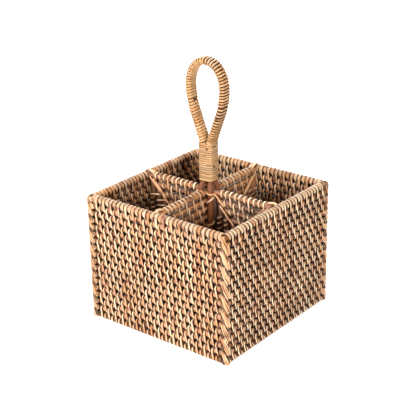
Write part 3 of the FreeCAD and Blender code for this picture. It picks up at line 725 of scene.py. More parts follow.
@dataclass
class Twine:
    """Strands twined in pairs down a row of rods, in a plane with an outward side.

    stops and radii are the rods' places along the strands and their radii. A place of the plane is
    corner + along * stop + right * across + outward * height. The trims are where a strand ends round the
    last rod, in degrees before its foot.
    """

    stops: Array
    radii: Array
    corner: Array
    outward: Array
    along: Array
    right: Array
    strand: Strand = field(default_factory=Strand)
    folded_trim: float = 60.0
    open_trim: float = 40.0
    entry_angles: tuple[float, ...] = (18.0, 36.0, 54.0, 72.0, 90.0)
    hook_at: tuple[float, ...] = (0.0, 0.09, 0.26, 0.55, 0.8, 1.0)

    def bend(self, rod: int, way: float, angle: float) -> tuple[float, float, float]:
        """Give a place on the bend round a rod.

        Args:
            rod: Number of the rod.
            way: -1 before the rod, 1 after it.
            angle: Degrees from the gap beside the rod.

        Returns:
            Distance along, height and depth in the weave.
        """
        turn = math.radians(angle)
        reach = self.radii[rod] + self.strand.lift
        return self.stops[rod] + way * reach * math.cos(turn), reach * math.sin(turn), math.cos(turn) ** 2

    def stitch(self, first: int, last: int, folded: bool, trim: float) -> list[tuple[float, float, float]]:
        """Follow one stitch over a rod or two.

        Args:
            first: Number of the stitch's first rod.
            last: Number of its last rod.
            folded: Whether the strand comes over the top of the first rod of all.
            trim: Where the strand ends round the last rod of all.

        Returns:
            Distance along, height and depth in the weave of each place.
        """
        starts = first == 0
        ends = last == len(self.stops) - 1
        places = []
        if not starts:
            before = self.stops[first - 1] + self.radii[first - 1]
            places.append(((before + self.stops[first] - self.radii[first]) / 2, 0.0, 1.0))
        entry = self.entry_angles if not starts or folded else self.entry_angles[1:]
        places += [self.bend(first, -1.0, angle) for angle in entry]
        if last > first:
            reach, reach_out = (self.radii[rod] + self.strand.lift for rod in (first, last))
            between = (self.stops[first] + self.stops[last]) / 2
            places.append((between, (reach + reach_out) / 2 - self.strand.sag, 0.0))
            places.append((self.stops[last], reach_out, 0.0))
        leaving = [angle for angle in self.entry_angles[-2::-1] if not ends or angle > trim]
        return places + [self.bend(last, 1.0, angle) for angle in leaving]

    def half(self, phase: int, number: int, folded: bool, trim: float, rng: np.random.Generator) -> Array:
        """Follow one half of a pair over two rods and under two.

        Args:
            phase: 0 or 1, which staggers neighbouring pairs by one rod.
            number: 0 or 1 within the pair.
            folded: Whether the pair is one strand folded over the first rod.
            trim: Where the strand ends round the last rod.
            rng: Source of the random draws.

        Returns:
            Rows of distance along, height outward, place across and depth in the weave.
        """
        stitch_of = (np.arange(len(self.stops)) + phase) // 2
        rows: list[tuple[float, float, float, float]] = []
        for stitch in range(stitch_of[-1] + 1):
            rods = np.flatnonzero(stitch_of == stitch)
            first, last = rods[0], rods[-1]
            side = 1.0 if (stitch + number) % 2 == 0 else -1.0
            top = self.stops[first] - (self.radii[first] + self.strand.lift)
            foot = self.stops[last] + (self.radii[last] + self.strand.lift)
            loose = rng.uniform(0.0, self.strand.looseness)
            for stop, height, depth in self.stitch(first, last, folded, trim):
                share = min(max((stop - top) / (foot - top), 0.0), 1.0)
                swing = float(np.interp(share, self.hook_at, self.strand.hook))
                if stitch == 0 and folded:
                    swing = (1 - math.cos(math.pi * share)) / 2
                height = side * (height + loose * (1 - depth))
                rows.append((stop, height, side * self.strand.sway * swing, depth))
        return np.array(rows)

    def lay(self, mesh: SweptMesh, across: float, path: Array, crown: float = 1.0) -> None:
        """Sweep one strand along a path.

        Args:
            mesh: The mesh that it goes into.
            across: Place of the pair's middle.
            path: Rows as half gives them.
            crown: How much wider the strand lies over the first rod's top.
        """
        strand, rng = self.strand, mesh.rng
        stop, height, sideways, depth = path.T
        distance = running(np.hypot(np.diff(stop), np.diff(height)))
        sideways = sideways + strand.stray * wander(rng, distance, strand.stray_step)
        sideways = sideways + rng.uniform(-strand.offset, strand.offset)
        line = (self.corner + np.outer(stop, self.along) + np.outer(height, self.outward)
                + np.outer(across + sideways, self.right))
        width = strand.width * (1 + rng.uniform(-strand.uneven, strand.uneven)) * (1 - strand.narrow * depth)
        width = width * (1 + strand.wave * wander(rng, distance, strand.wave_step))
        over = np.clip((self.stops[0] - stop) / self.radii[0] + 0.5, 0.0, 1.0)
        width = width * (1 + (crown - 1) * over)
        thick = strand.thickness * (1 - strand.squeeze * depth)
        own = rng.uniform(*strand.tones)
        tone = np.clip(own + strand.tone_wave * wander(rng, distance, strand.tone_step), 0.0, 1.0)
        # Painted shade: where the strand dips into the weave, on its inner face, and on its two edges.
        inner_shade = np.where(height < 0.0, strand.inner_shade, 0.0)
        # The strand is also darker over the rim's top.
        worn = strand.crown_darkening * over if crown > 1.0 else 0.0
        recess = strand.shade_amount(np.maximum(np.maximum(depth, inner_shade), worn))
        mesh.sweep(line, self.right, width / 2, thick / 2, recess=recess, squareness=strand.squareness,
                   tone=tone)

    def folded_pair(self, mesh: SweptMesh, across: float, phase: int) -> None:
        """Lay one strand that is folded over the first rod and twined with itself down the others."""
        outer, inner = (self.half(phase, number, True, self.folded_trim, mesh.rng) for number in (0, 1))
        crown = np.array([[self.stops[0] - self.radii[0] - self.strand.lift, 0.0, 0.0, 0.0]])
        for part in (outer, inner):
            part[part[:, 0] < self.stops[0], 3] = 0.0
        self.lay(mesh, across, np.concatenate((inner[::-1], crown, outer)), self.strand.crown)

    def open_pair(self, mesh: SweptMesh, across: float, phase: int) -> None:
        """Lay two strands that start at the first rod and end at the last."""
        for number in (0, 1):
            self.lay(mesh, across, self.half(phase, number, False, self.open_trim, mesh.rng))


@dataclass
class Wall:
    """One wall of the box: level rods in a stack, held by folded strands.

    shadow is how far a strand's painted shadow falls past it along a rod, negative to the other side. shade
    is the shade painted between the rods, and inside the least painted shade of their inner faces. The
    highest wall rod is raised and taller, to fill the gap under the rim rod.
    """

    name: str
    outward: Array
    seed: int
    rods: int = 16
    pairs: int = 32
    strand: Strand = field(default_factory=Strand)
    tones: Span = (0.2, 0.7)
    shadow: float = 0.7
    shade: float = 1.0
    inside: float = 0.35
    tall: float = 1.24
    highest_rise: float = 0.5
    highest_tall: float = 0.2
    thick_share: float = 0.985
    bow: float = 0.12
    end_inset: float = 0.45
    bead_step: float = 0.8
    shadow_reach: float = 2.1
    shadow_power: float = 1.5
    rim_shade: float = 0.5
    edge_share: float = 0.1

    def __post_init__(self) -> None:
        """Read the rods' heights and radii from the frame."""
        self.right = np.cross(UP, self.outward)
        low, high = box_of(self.name + "_wall_rods")
        depth_axis = int(np.argmax(np.abs(self.outward)))
        self.radius = float(high[depth_axis] - low[depth_axis]) / 2
        self.levels = np.linspace(low[2] + self.radius, high[2] - self.radius, self.rods)
        self.middle = float(abs(high[depth_axis] + low[depth_axis]) / 2)
        self.length = float((high - low)[1 - depth_axis])
        low, high = box_of(self.name + "_rim_rod")
        self.rim_level, self.rim_radius = float(high[2] + low[2]) / 2, float(high[2] - low[2]) / 2
        low, high = box_of(self.name + "_base_rod")
        self.base_radius = float(high[depth_axis] - low[depth_axis]) / 2
        self.base_level = float(high[2]) - self.base_radius
        low, high = box_of(self.name + "_wall_weavers")
        self.room = float(high[1 - depth_axis] - low[1 - depth_axis]) / (1 - self.edge_share / self.pairs)

    @property
    def places(self) -> Array:
        """Places of the pairs of strands along the wall, from its middle."""
        return (np.arange(self.pairs) - (self.pairs - 1) / 2) * self.room / self.pairs

    def rod_mesh(self, seed: int, rods: Sequence[tuple[float, float, int]],
                 flat: float | None = None) -> SweptMesh:
        """Sweep rods at the given heights.

        Args:
            seed: Seed of the random draws.
            rods: Height, radius and number from the rim down of each.
            flat: Height under which they are planed flat, if they are.

        Returns:
            The mesh.
        """
        mesh = SweptMesh(seed)
        half = self.length / 2 - self.end_inset
        for level, radius, number in rods:
            rise, taller = (self.highest_rise, self.highest_tall) if number == 1 else (0.0, 0.0)
            middle = self.outward * self.middle + UP * (level + rise)
            slim, tall = (self.thick_share, 1.0) if radius > self.radius else (1.0, self.tall + taller)

            def stain_and_shade(distance: Array, number: int = number) -> tuple[Array, Array]:
                """Give the shade painted beside the strands by distance along the rod."""
                return self.stain_and_shade(distance - half, number)

            mesh.rod(middle - self.right * half, middle + self.right * half, radius * slim, self.bow,
                     tall=tall, tone=mesh.rng.uniform(*self.tones), flat_below=flat, shade=self.shade,
                     step=self.bead_step, stain_and_shade=stain_and_shade)
        return mesh

    def stain_and_shade(self, across: Array, number: int) -> tuple[Array, Array]:
        """Give the shadow and shade painted on a rod beside the strands that cross it.

        Args:
            across: Places along the rod, from the wall's middle.
            number: Number of the rod from the rim down.

        Returns:
            The painted shade on the outer and on the inner face.
        """
        twine = self.twine(self.rods + 2)
        swings = []
        for phase in (0, 1):
            alone = number == 0 and phase == 1 or number == self.rods + 1 and (number + phase) % 2 == 0
            share = 0.5 if alone else (0.25, 0.75)[(number + phase) % 2]
            swings.append(float(np.interp(share, twine.hook_at, self.strand.hook)) * self.strand.sway)
        swing = np.where(np.arange(self.pairs) % 2 == 0, swings[0], swings[1])
        # Painted shadow beside each strand, longer on one side; painted shade all along the rim rod and on
        # the inner faces.
        least = self.rim_shade if number == 0 else 0.0
        faces = []
        for way in (1.0, -1.0):
            offset = way * math.copysign(1.0, self.shadow) * (across[:, None] - (self.places + way * swing))
            nearest = np.where(offset > 0.0, offset - abs(self.shadow), -offset).min(axis=1)
            faces.append(np.clip(self.shadow_reach - nearest, least, 1.0) ** self.shadow_power)
        return faces[0], np.maximum(faces[1], self.inside)

    def twine(self, count: int) -> Twine:
        """Give the wall's twining down that many rods, from the rim."""
        heights = np.concatenate(([self.rim_level], self.levels[::-1], [self.base_level]))
        radii = np.concatenate(([self.rim_radius], np.full(self.rods, self.radius), [self.base_radius]))
        return Twine(-heights[:count], radii[:count], self.outward * self.middle, self.outward, -UP,
                     self.right, self.strand)

    def weavers(self) -> SweptMesh:
        """Sweep the strands, folded over the rim rod and trimmed at the base rod."""
        mesh = SweptMesh(self.seed + 3)
        twine = self.twine(self.rods + 2)
        for column, across in enumerate(self.places):
            twine.folded_pair(mesh, across, column % 2)
        return mesh

    def build(self, materials: Materials) -> None:
        """Make the wall's four pieces."""
        base = self.rod_mesh(self.seed, [(self.base_level, self.base_radius, self.rods + 1)], flat=0.0)
        base.build(self.name + "_base_rod", Slot.BASE, materials)
        stacked = [(level, self.radius, self.rods - i) for i, level in enumerate(self.levels)]
        self.rod_mesh(self.seed + 1, stacked).build(self.name + "_wall_rods", Slot.ROD, materials)
        rim = self.rod_mesh(self.seed + 2, [(self.rim_level, self.rim_radius, 0)])
        rim.build(self.name + "_rim_rod", Slot.ROD, materials)
        self.weavers().build(self.name + "_wall_weavers", Slot.STRAND, materials)


@dataclass
class CornerLashing:
    """Bunches of steep slanting strips round one upright edge, and the wraps of the rim beside it.

    shares are the places along a strip from its middle to an end. tucks are how far it dips at the shares
    that tuck_at gives.
    """

    node: str
    side: Wall
    end: Wall
    reach: float = 4.7
    fall: float = 21.5
    falls: Span = (0.92, 1.06)
    bend: float = 1.7
    inset: float = 0.7
    lowest: float = 1.6
    over_rim: float = 3.6
    under_top: float = 3.0
    strips: int = 3
    strip_step: float = 2.05
    stray_up: float = 0.8
    stray_round: float = 0.25
    under: float = 0.8
    widths: Span = (0.88, 1.08)
    tones: Span = (0.0, 0.7)
    least_shade: float = 0.12
    squareness: float = 2.4
    side_wrap: float = 86.9
    end_wrap: float = 85.6
    shares: tuple[float, ...] = (0.15, 0.3, 0.45, 0.6, 0.75, 0.88, 0.96, 1.0)
    tuck_at: tuple[float, ...] = (0.0, 0.75, 0.88, 0.96, 1.0)
    tucks: tuple[float, ...] = (0.0, 0.0, 0.5, 1.6, 2.8)
    strand: Strand = field(default_factory=lambda: Strand(width=1.75, edge=1.0))

    def __post_init__(self) -> None:
        """Find the corner's side of the box, its place and the quarter bend round it."""
        self.east, self.north = self.side.outward[0], self.end.outward[1]
        low, high = box_of(self.node)
        corner = np.array((high[0] if self.east > 0 else low[0], high[1] if self.north > 0 else low[1], 0.0))
        self.centre = corner - np.array((self.east, self.north, 0.0)) * (self.bend + self.inset)
        self.quarter = math.pi / 4 * self.bend

    def point(self, travel: float, dip: float) -> Array:
        """Follow the corner's outside from its end wall to its side wall.

        Args:
            travel: Distance round the corner, negative on the front or back face.
            dip: Distance below the outer surface.

        Returns:
            The place, on the ground.
        """
        radius = self.bend - dip
        if abs(travel) <= self.quarter:
            turn = math.pi / 4 + travel / self.bend
            away = np.array((self.east * math.sin(turn), self.north * math.cos(turn), 0.0))
            return self.centre + away * radius
        run = abs(travel) - self.quarter
        if travel < 0:
            return self.centre + np.array((-self.east * run, self.north * radius, 0.0))
        return self.centre + np.array((self.east * radius, -self.north * run, 0.0))

    def strip(self, mesh: SweptMesh, middle: float, shift: float, under: float = 0.0) -> None:
        """Add one strip.

        Args:
            mesh: The mesh that it goes into.
            middle: Height of the strip's middle.
            shift: How far the strip is moved round the corner.
            under: How far it lies below the outer strips.
        """
        half = np.array(self.shares)
        share = np.concatenate((-half[::-1], [0.0], half))
        travel = shift + self.reach * share
        tuck = np.interp(np.abs(share), self.tuck_at, self.tucks)
        slope = 0.5 if self.east * self.north < 0 else -0.5
        fall = self.fall * mesh.rng.uniform(*self.falls)
        height = np.clip(middle - slope * share * fall, self.lowest, self.side.rim_level + self.over_rim)
        dips = under + np.where(np.abs(travel) > self.quarter, tuck, 0.0)
        line = np.stack([self.point(t, d) for t, d in zip(travel, dips)]) + np.outer(height, UP)
        turn = math.pi / 4 + np.clip(travel, -self.quarter, self.quarter) / self.bend
        away = np.stack((self.east * np.sin(turn), self.north * np.cos(turn), np.zeros_like(turn)), axis=-1)
        wide = np.cross(unit(np.gradient(line, axis=0)), away)
        # Painted shade on the strips that lie under others or tuck into the weave, and a little on all of
        # them.
        recess = self.strand.shade_amount(np.clip(under + tuck / self.tucks[-1], self.least_shade, 1.0))
        mesh.sweep(line, wide, self.strand.width / 2 * mesh.rng.uniform(*self.widths),
                   self.strand.thickness / 2, recess=recess, squareness=self.squareness,
                   tone=mesh.rng.uniform(*self.tones))

    def build(self, materials: Materials) -> None:
        """Make the lashing as one piece."""
        mesh = SweptMesh(self.end.seed + self.side.seed)
        pitch = float(np.diff(self.side.levels).mean())
        highest = self.side.rim_level + self.under_top - self.fall / 2
        for middle in np.arange(highest, self.side.base_level - pitch / 2, -2 * pitch):
            for number in range(self.strips):
                shift = (number - (self.strips - 1) / 2) * self.strip_step
                self.strip(mesh, middle + mesh.rng.uniform(-self.stray_up, self.stray_up),
                           shift + mesh.rng.uniform(-self.stray_round, self.stray_round))
            for shift in (-self.strip_step, self.strip_step):
                self.strip(mesh, middle - pitch, shift, under=self.under)
        wraps = ((self.side, self.side_wrap, self.side.rods + 2), (self.end, self.end_wrap, 2))
        for wall, place, rods in wraps:
            facing = float(np.dot(wall.right, np.array((self.east, self.north, 0.0))))
            wall.twine(rods).folded_pair(mesh, facing * place, 1)
        mesh.build(self.node, Slot.STRAND, materials)


@dataclass
class Floor:
    """The woven floor: three bearers on the ground and strands over the rods across them."""

    seed: int = 500
    rods: int = 20
    bearers: int = 3
    bearer_diameter: float = 6.3
    spacing: float = 10.2
    bow: float = 0.1
    end_inset: float = 0.45

    def build(self, materials: Materials) -> None:
        """Make the floor's three pieces."""
        low, high = box_of("floor_bearers")
        radius = self.bearer_diameter / 2
        mesh = SweptMesh(self.seed)
        bearers = np.linspace(low[0] + radius, high[0] - radius, self.bearers)
        level = high[2] - radius
        for east in bearers:
            start, end = (np.array((east, north, level)) for north in self.inner(low[1], high[1]))
            mesh.rod(start, end, radius, self.bow, flat_below=0.0)
        mesh.build("floor_bearers", Slot.ROD, materials)
        low, high = box_of("floor_rods")
        radius = float(high[2] - low[2]) / 2
        stops = np.linspace(low[1] + radius, high[1] - radius, self.rods)
        level = float(high[2] + low[2]) / 2
        mesh = SweptMesh(self.seed + 1)
        for north in stops:
            start, end = (np.array((east, north, level)) for east in self.inner(low[0], high[0]))
            mesh.rod(start, end, radius, self.bow)
        mesh.build("floor_rods", Slot.ROD, materials)
        twine = Twine(stops, np.full(self.rods, radius), UP * level, UP, NORTH, EAST)
        mesh = SweptMesh(self.seed + 2)
        room = radius + twine.strand.width
        for column, across in enumerate(spread(float(high[0] - low[0]), self.spacing)):
            if np.abs(bearers - across).min() > room:
                twine.open_pair(mesh, across, column % 2)
        mesh.build("floor_weavers", Slot.STRAND, materials)

    def inner(self, low: float, high: float) -> Span:
        """Draw in both ends of a rod, which are rounded past them."""
        return low + self.end_inset, high - self.end_inset


@dataclass
class Divider:
    """A woven panel of nested rods: level ones above its two mitre lines and upright ones below them.

    clear says where along the panel no strand runs, because the post is there. mitre_room is the width of a
    mitre's strand in the CAD, which the weave stays clear of. mitre_sway and mitre_wave are waves: the size
    and the distance between two knots.
    """

    name: str
    sideways: Array
    seed: int
    clear: Callable[[float], bool]
    diameter: float = 6.4
    gap: float = 2.6
    spacing: float = 5.8
    seat: float = 0.3
    end_inset: float = 0.4
    level_bow: float = 0.3
    upright_bow: float = 0.15
    tones: Span = (0.0, 0.35)
    # Painted shade on the level rods' sides and all along the upright rods, darkest beside the post.
    shade: float = 0.9
    post_shade: float = 0.8
    upright_shade: float = 0.55
    weave_trim: float = 30.0
    post_zone: float = 11.55
    mitre_room: float = 2.3
    mitre_gap: float = 0.15
    mitre_lift: float = 0.55
    mitre_shift: float = 1.1
    mitre_top: float = 2.6
    mitre_half: Span = (1.05, 0.7)
    mitre_tones: Span = (0.1, 0.6)
    mitre_points: int = 26
    mitre_sway: Span = (0.25, 11.0)
    mitre_wave: Span = (0.1, 9.0)
    mitre_dip: float = 1.1
    mitre_dip_share: float = 0.05
    mitre_squareness: float = 2.6
    post_strand: tuple[float, float, float] = (3.3, 5.5, 18.0)
    short_span: Span = (0.12, 0.72)
    strand: Strand = field(
        default_factory=lambda: Strand(width=2.2, sway=1.5, looseness=0.5, tones=(0.3, 0.9)))

    def __post_init__(self) -> None:
        """Read the panel's place from the frame and share out its rods."""
        low, high = box_of(self.name + "_rods")
        axis = int(np.argmax(np.abs(self.sideways)))
        self.length = float(high[axis] - low[axis])
        self.start = np.zeros(3)
        self.start[axis] = low[axis] if self.sideways[axis] > 0 else high[axis]
        self.start[2] = high[2]
        self.height = float(high[2] - low[2])
        self.radius = self.diameter / 2
        self.outward = np.cross(UP, self.sideways)
        self.uprights = int((self.length + self.gap) // (self.diameter + self.gap))
        self.pitch = (self.length - self.diameter) / (self.uprights - 1)
        self.nested = self.uprights // 2

    def at(self, across: float, depth: float) -> Array:
        """Give a point of the panel's middle plane."""
        return self.start + self.sideways * across - UP * depth

    def upright_places(self) -> list[tuple[float, float]]:
        """Give the place along the panel, and the depth of the upper end, of each upright rod."""
        places = []
        for i in range(self.uprights):
            ring = min(i, self.uprights - 1 - i, self.nested - 1)
            places.append((self.radius + i * self.pitch, ring * self.pitch + self.diameter + self.seat))
        return places

    def rods(self) -> SweptMesh:
        """Sweep the level and the upright rods."""
        mesh = SweptMesh(self.seed)
        for ring in range(self.nested):
            inset = ring * self.pitch
            depth = inset + self.radius
            mesh.rod(self.at(inset + self.end_inset, depth),
                     self.at(self.length - inset - self.end_inset, depth), self.radius, self.level_bow,
                     tone=mesh.rng.uniform(*self.tones), shade=self.shade)
        for across, top in self.upright_places():
            shaded = self.post_shade if self.clear(across) else self.upright_shade

            def stain_and_shade(distance: Array, shaded: float = shaded) -> tuple[Array, Array]:
                """Give the same painted shade all along."""
                return np.full(len(distance), shaded), np.full(len(distance), shaded)

            mesh.rod(self.at(across, self.height - self.end_inset), self.at(across, top + self.end_inset),
                     self.radius, self.upright_bow, tone=mesh.rng.uniform(*self.tones), stain_and_shade=stain_and_shade)
        return mesh

    def level_rows(self) -> Iterator[tuple[float, list[float]]]:
        """Give each level row of strands as its depth and the places of the upright rods that it binds."""
        for shift in spread(self.height - 2 * self.diameter, self.spacing):
            depth = self.height / 2 + self.radius + shift
            group: list[float] = []
            for across, top in self.upright_places() + [(math.inf, math.inf)]:
                if top + self.radius < depth and not self.clear(across):
                    group.append(across)
                    continue
                if len(group) > 1:
                    yield depth, group
                group = []

    def weavers(self) -> SweptMesh:
        """Sweep the strands folded over the highest rod and the level ones across the upright rods."""
        mesh = SweptMesh(self.seed + 1)
        right = np.cross(UP, self.outward)
        facing = float(np.dot(right, self.sideways))
        for column, shift in enumerate(spread(self.length, self.spacing)):
            across = self.length / 2 + shift
            depth = min(across, self.length - across) - (2 * self.mitre_room + self.mitre_gap + self.radius)
            count = min(int(depth // self.pitch) + 1, self.nested) if depth > 0 else 0
            if count > 0 and not self.clear(across):
                stops = self.radius + np.arange(count) * self.pitch
                twine = Twine(stops, np.full(count, self.radius), self.start, self.outward, -UP, right,
                              self.strand, folded_trim=self.weave_trim)
                twine.folded_pair(mesh, facing * across, column % 2)
        for row, (depth, group) in enumerate(self.level_rows()):
            twine = Twine(np.array(group), np.full(len(group), self.radius), self.start - UP * depth,
                          self.outward, self.sideways, -UP, self.strand)
            twine.open_pair(mesh, 0.0, row % 2)
        return mesh

    def mitres(self, mesh: SweptMesh) -> None:
        """Add the long slanting strands that lie over the weave along both mitre lines, on both faces."""
        half = self.mitre_room / math.sqrt(2)
        reach = [ring * self.pitch + self.diameter for ring in range(self.nested)]
        for mirrored in (False, True):
            places = [self.length - r if mirrored else r for r in reach]
            free = [r for r, p in zip(reach, places) if not any(self.clear(p + s) for s in (-half, half))]
            by_post = self.clear(self.length if mirrored else 0.0)
            highest = free[0] if by_post else self.mitre_top
            near, far = (highest + share * (free[-1] - highest) for share in self.short_span)
            short = self.post_strand if by_post else (self.mitre_shift, near, far)
            for face in (1.0, -1.0):
                self.mitre(mesh, mirrored, face, (-self.mitre_shift, highest, free[-1]))
                self.mitre(mesh, mirrored, face, short)

    def mitre(self, mesh: SweptMesh, mirrored: bool, face: float, span: tuple[float, float, float]) -> None:
        """Add one slanting strand.

        Args:
            mesh: The mesh that it goes into.
            mirrored: Whether it lies on the mitre line at the panel's far end.
            face: 1 or -1, the panel's face that it lies on.
            span: How far it is shifted off the mitre line, and where along the line it starts and ends.
        """
        shift, first, last = span
        share = np.linspace(0.0, 1.0, self.mitre_points)
        run = first + (last - first) * share
        across = run + shift / math.sqrt(2) + waver(mesh.rng, run, self.mitre_sway)
        depth = run - shift / math.sqrt(2)
        if mirrored:
            across = self.length - across
        edge = np.minimum(share, 1.0 - share)
        dip = self.mitre_dip * np.clip(1 - edge / self.mitre_dip_share, 0.0, 1.0) ** 2
        lift = self.radius + self.strand.thickness + self.mitre_lift - dip
        lift = lift + waver(mesh.rng, run, self.mitre_wave)
        line = self.start + np.outer(across, self.sideways) - np.outer(depth, UP)
        line = line + np.outer(face * lift, self.outward)
        wide = unit(np.cross(np.gradient(line, axis=0), self.outward))
        mesh.sweep(line, wide, *self.mitre_half, recess=self.strand.clean(line),
                   squareness=self.mitre_squareness, tone=mesh.rng.uniform(*self.mitre_tones))

    def build(self, materials: Materials) -> None:
        """Make the panel's rods and strands."""
        self.rods().build(self.name + "_rods", Slot.DIVIDER, materials)
        self.weavers().build(self.name + "_weavers", Slot.STRAND, materials)


class LoopLine:
    """The plane line that the handle's loop follows, from the collar's top on the right to its left."""

    STEP = 0.05

    def __init__(self, foot: Span, leg_height: float, bow_height: float, half_width: float, neck: float,
                 leg: float) -> None:
        """Chain the arcs and the straight run of the loop's right half.

        Args:
            foot: X and Z where the line leaves the collar.
            leg_height: Collar to the widest place.
            bow_height: Widest place to the top.
            half_width: Middle to the widest place.
            neck: Bend radius over the collar.
            leg: Bend radius below the widest place.
        """
        both = neck + leg
        offset = both - (half_width - foot[0])
        slant = math.hypot(offset, leg_height)
        lean = math.asin(both / slant) - math.atan2(offset, leg_height)
        run = math.sqrt(slant * slant - both * both)
        total = half_width + bow_height
        reach = (math.sqrt(total ** 2 + 2 * (half_width ** 2 + bow_height ** 2)) - total) / 2
        shoulder = math.atan2(half_width - reach, bow_height - reach)
        crown = math.pi / 2 - shoulder
        pieces = [(neck * lean, -lean), (run, 0.0), (leg * lean, lean),
                  (reach / math.tan(shoulder / 2) * shoulder, shoulder),
                  (reach / math.tan(crown / 2) * crown, crown)]
        lengths, turns = np.array(pieces).T
        self.length = float(lengths.sum())
        self.distance = np.linspace(0.0, self.length, int(self.length / self.STEP) + 1)
        self.heading = math.pi / 2 + np.interp(self.distance, running(lengths), running(turns))
        step = self.distance[1]
        ahead, up = np.cos(self.heading), np.sin(self.heading)
        self.x = foot[0] + running((ahead[1:] + ahead[:-1]) / 2 * step)
        self.z = foot[1] + running((up[1:] + up[:-1]) / 2 * step)

    def at(self, distance: Array) -> tuple[Array, Array]:
        """Give points and directions at distances past the collar's top on the right.

        Args:
            distance: Distances along the line, negative inside the collar.

        Returns:
            The points and the directions, one row each.
        """
        past = distance > self.length
        own = np.where(past, 2 * self.length - distance, distance)
        x = np.interp(own, self.distance, self.x)
        z = np.interp(own, self.distance, self.z) + np.minimum(own, 0.0)
        heading = np.interp(own, self.distance, self.heading)
        sign = np.where(past, -1.0, 1.0)
        points = np.stack((sign * x, np.zeros_like(x), z), axis=-1)
        return points, np.stack((np.cos(heading), np.zeros_like(x), sign * np.sin(heading)), axis=-1)


def wrap_section(middles: Sequence[Span], radius: float, bends: int) -> tuple[Array, Array, Array]:
    """Give the closed line of a band drawn tight round a bundle of rods.

    Args:
        middles: The rods' middles in order round the bundle.
        radius: Radius of the band about each rod.
        bends: Number of points on each rod.

    Returns:
        The points, their outward directions and their shares of one turn.
    """
    points, normals = [], []
    count = len(middles)
    for i in range(count):
        before, here, after = (np.array(middles[(i + k) % count]) for k in (-1, 0, 1))
        first, second = unit(here - before), unit(after - here)
        start = math.atan2(-first[0], first[1])
        turn = (math.atan2(-second[0], second[1]) - start) % (2 * math.pi)
        for angle in start + turn * np.linspace(0.0, 1.0, bends):
            normal = np.array((math.cos(angle), math.sin(angle)))
            points.append(here + normal * radius)
            normals.append(normal)
    line = np.array(points)
    steps = np.linalg.norm(np.diff(np.concatenate((line, line[:1])), axis=0), axis=1)
    return line, np.array(normals), running(steps)[:-1] / steps.sum()


class Binding(Enum):
    """The loop's four bindings, from the right of the collar to its left.

    Each has the cane's width at its start and its end, how far its turns crowd to one end, and its tone,
    lower on the left as painted shade.
    """

    RIGHT_LEG = ("right_leg_binding", 2.5, 1.75, -0.28, 0.2)
    RIGHT_BOW = ("right_bow_binding", 1.75, 2.0, 0.0, 0.2)
    LEFT_BOW = ("left_bow_binding", 2.4, 2.55, 0.0, 0.05)
    LEFT_LEG = ("left_leg_binding", 2.62, 2.55, 0.12, -0.1)


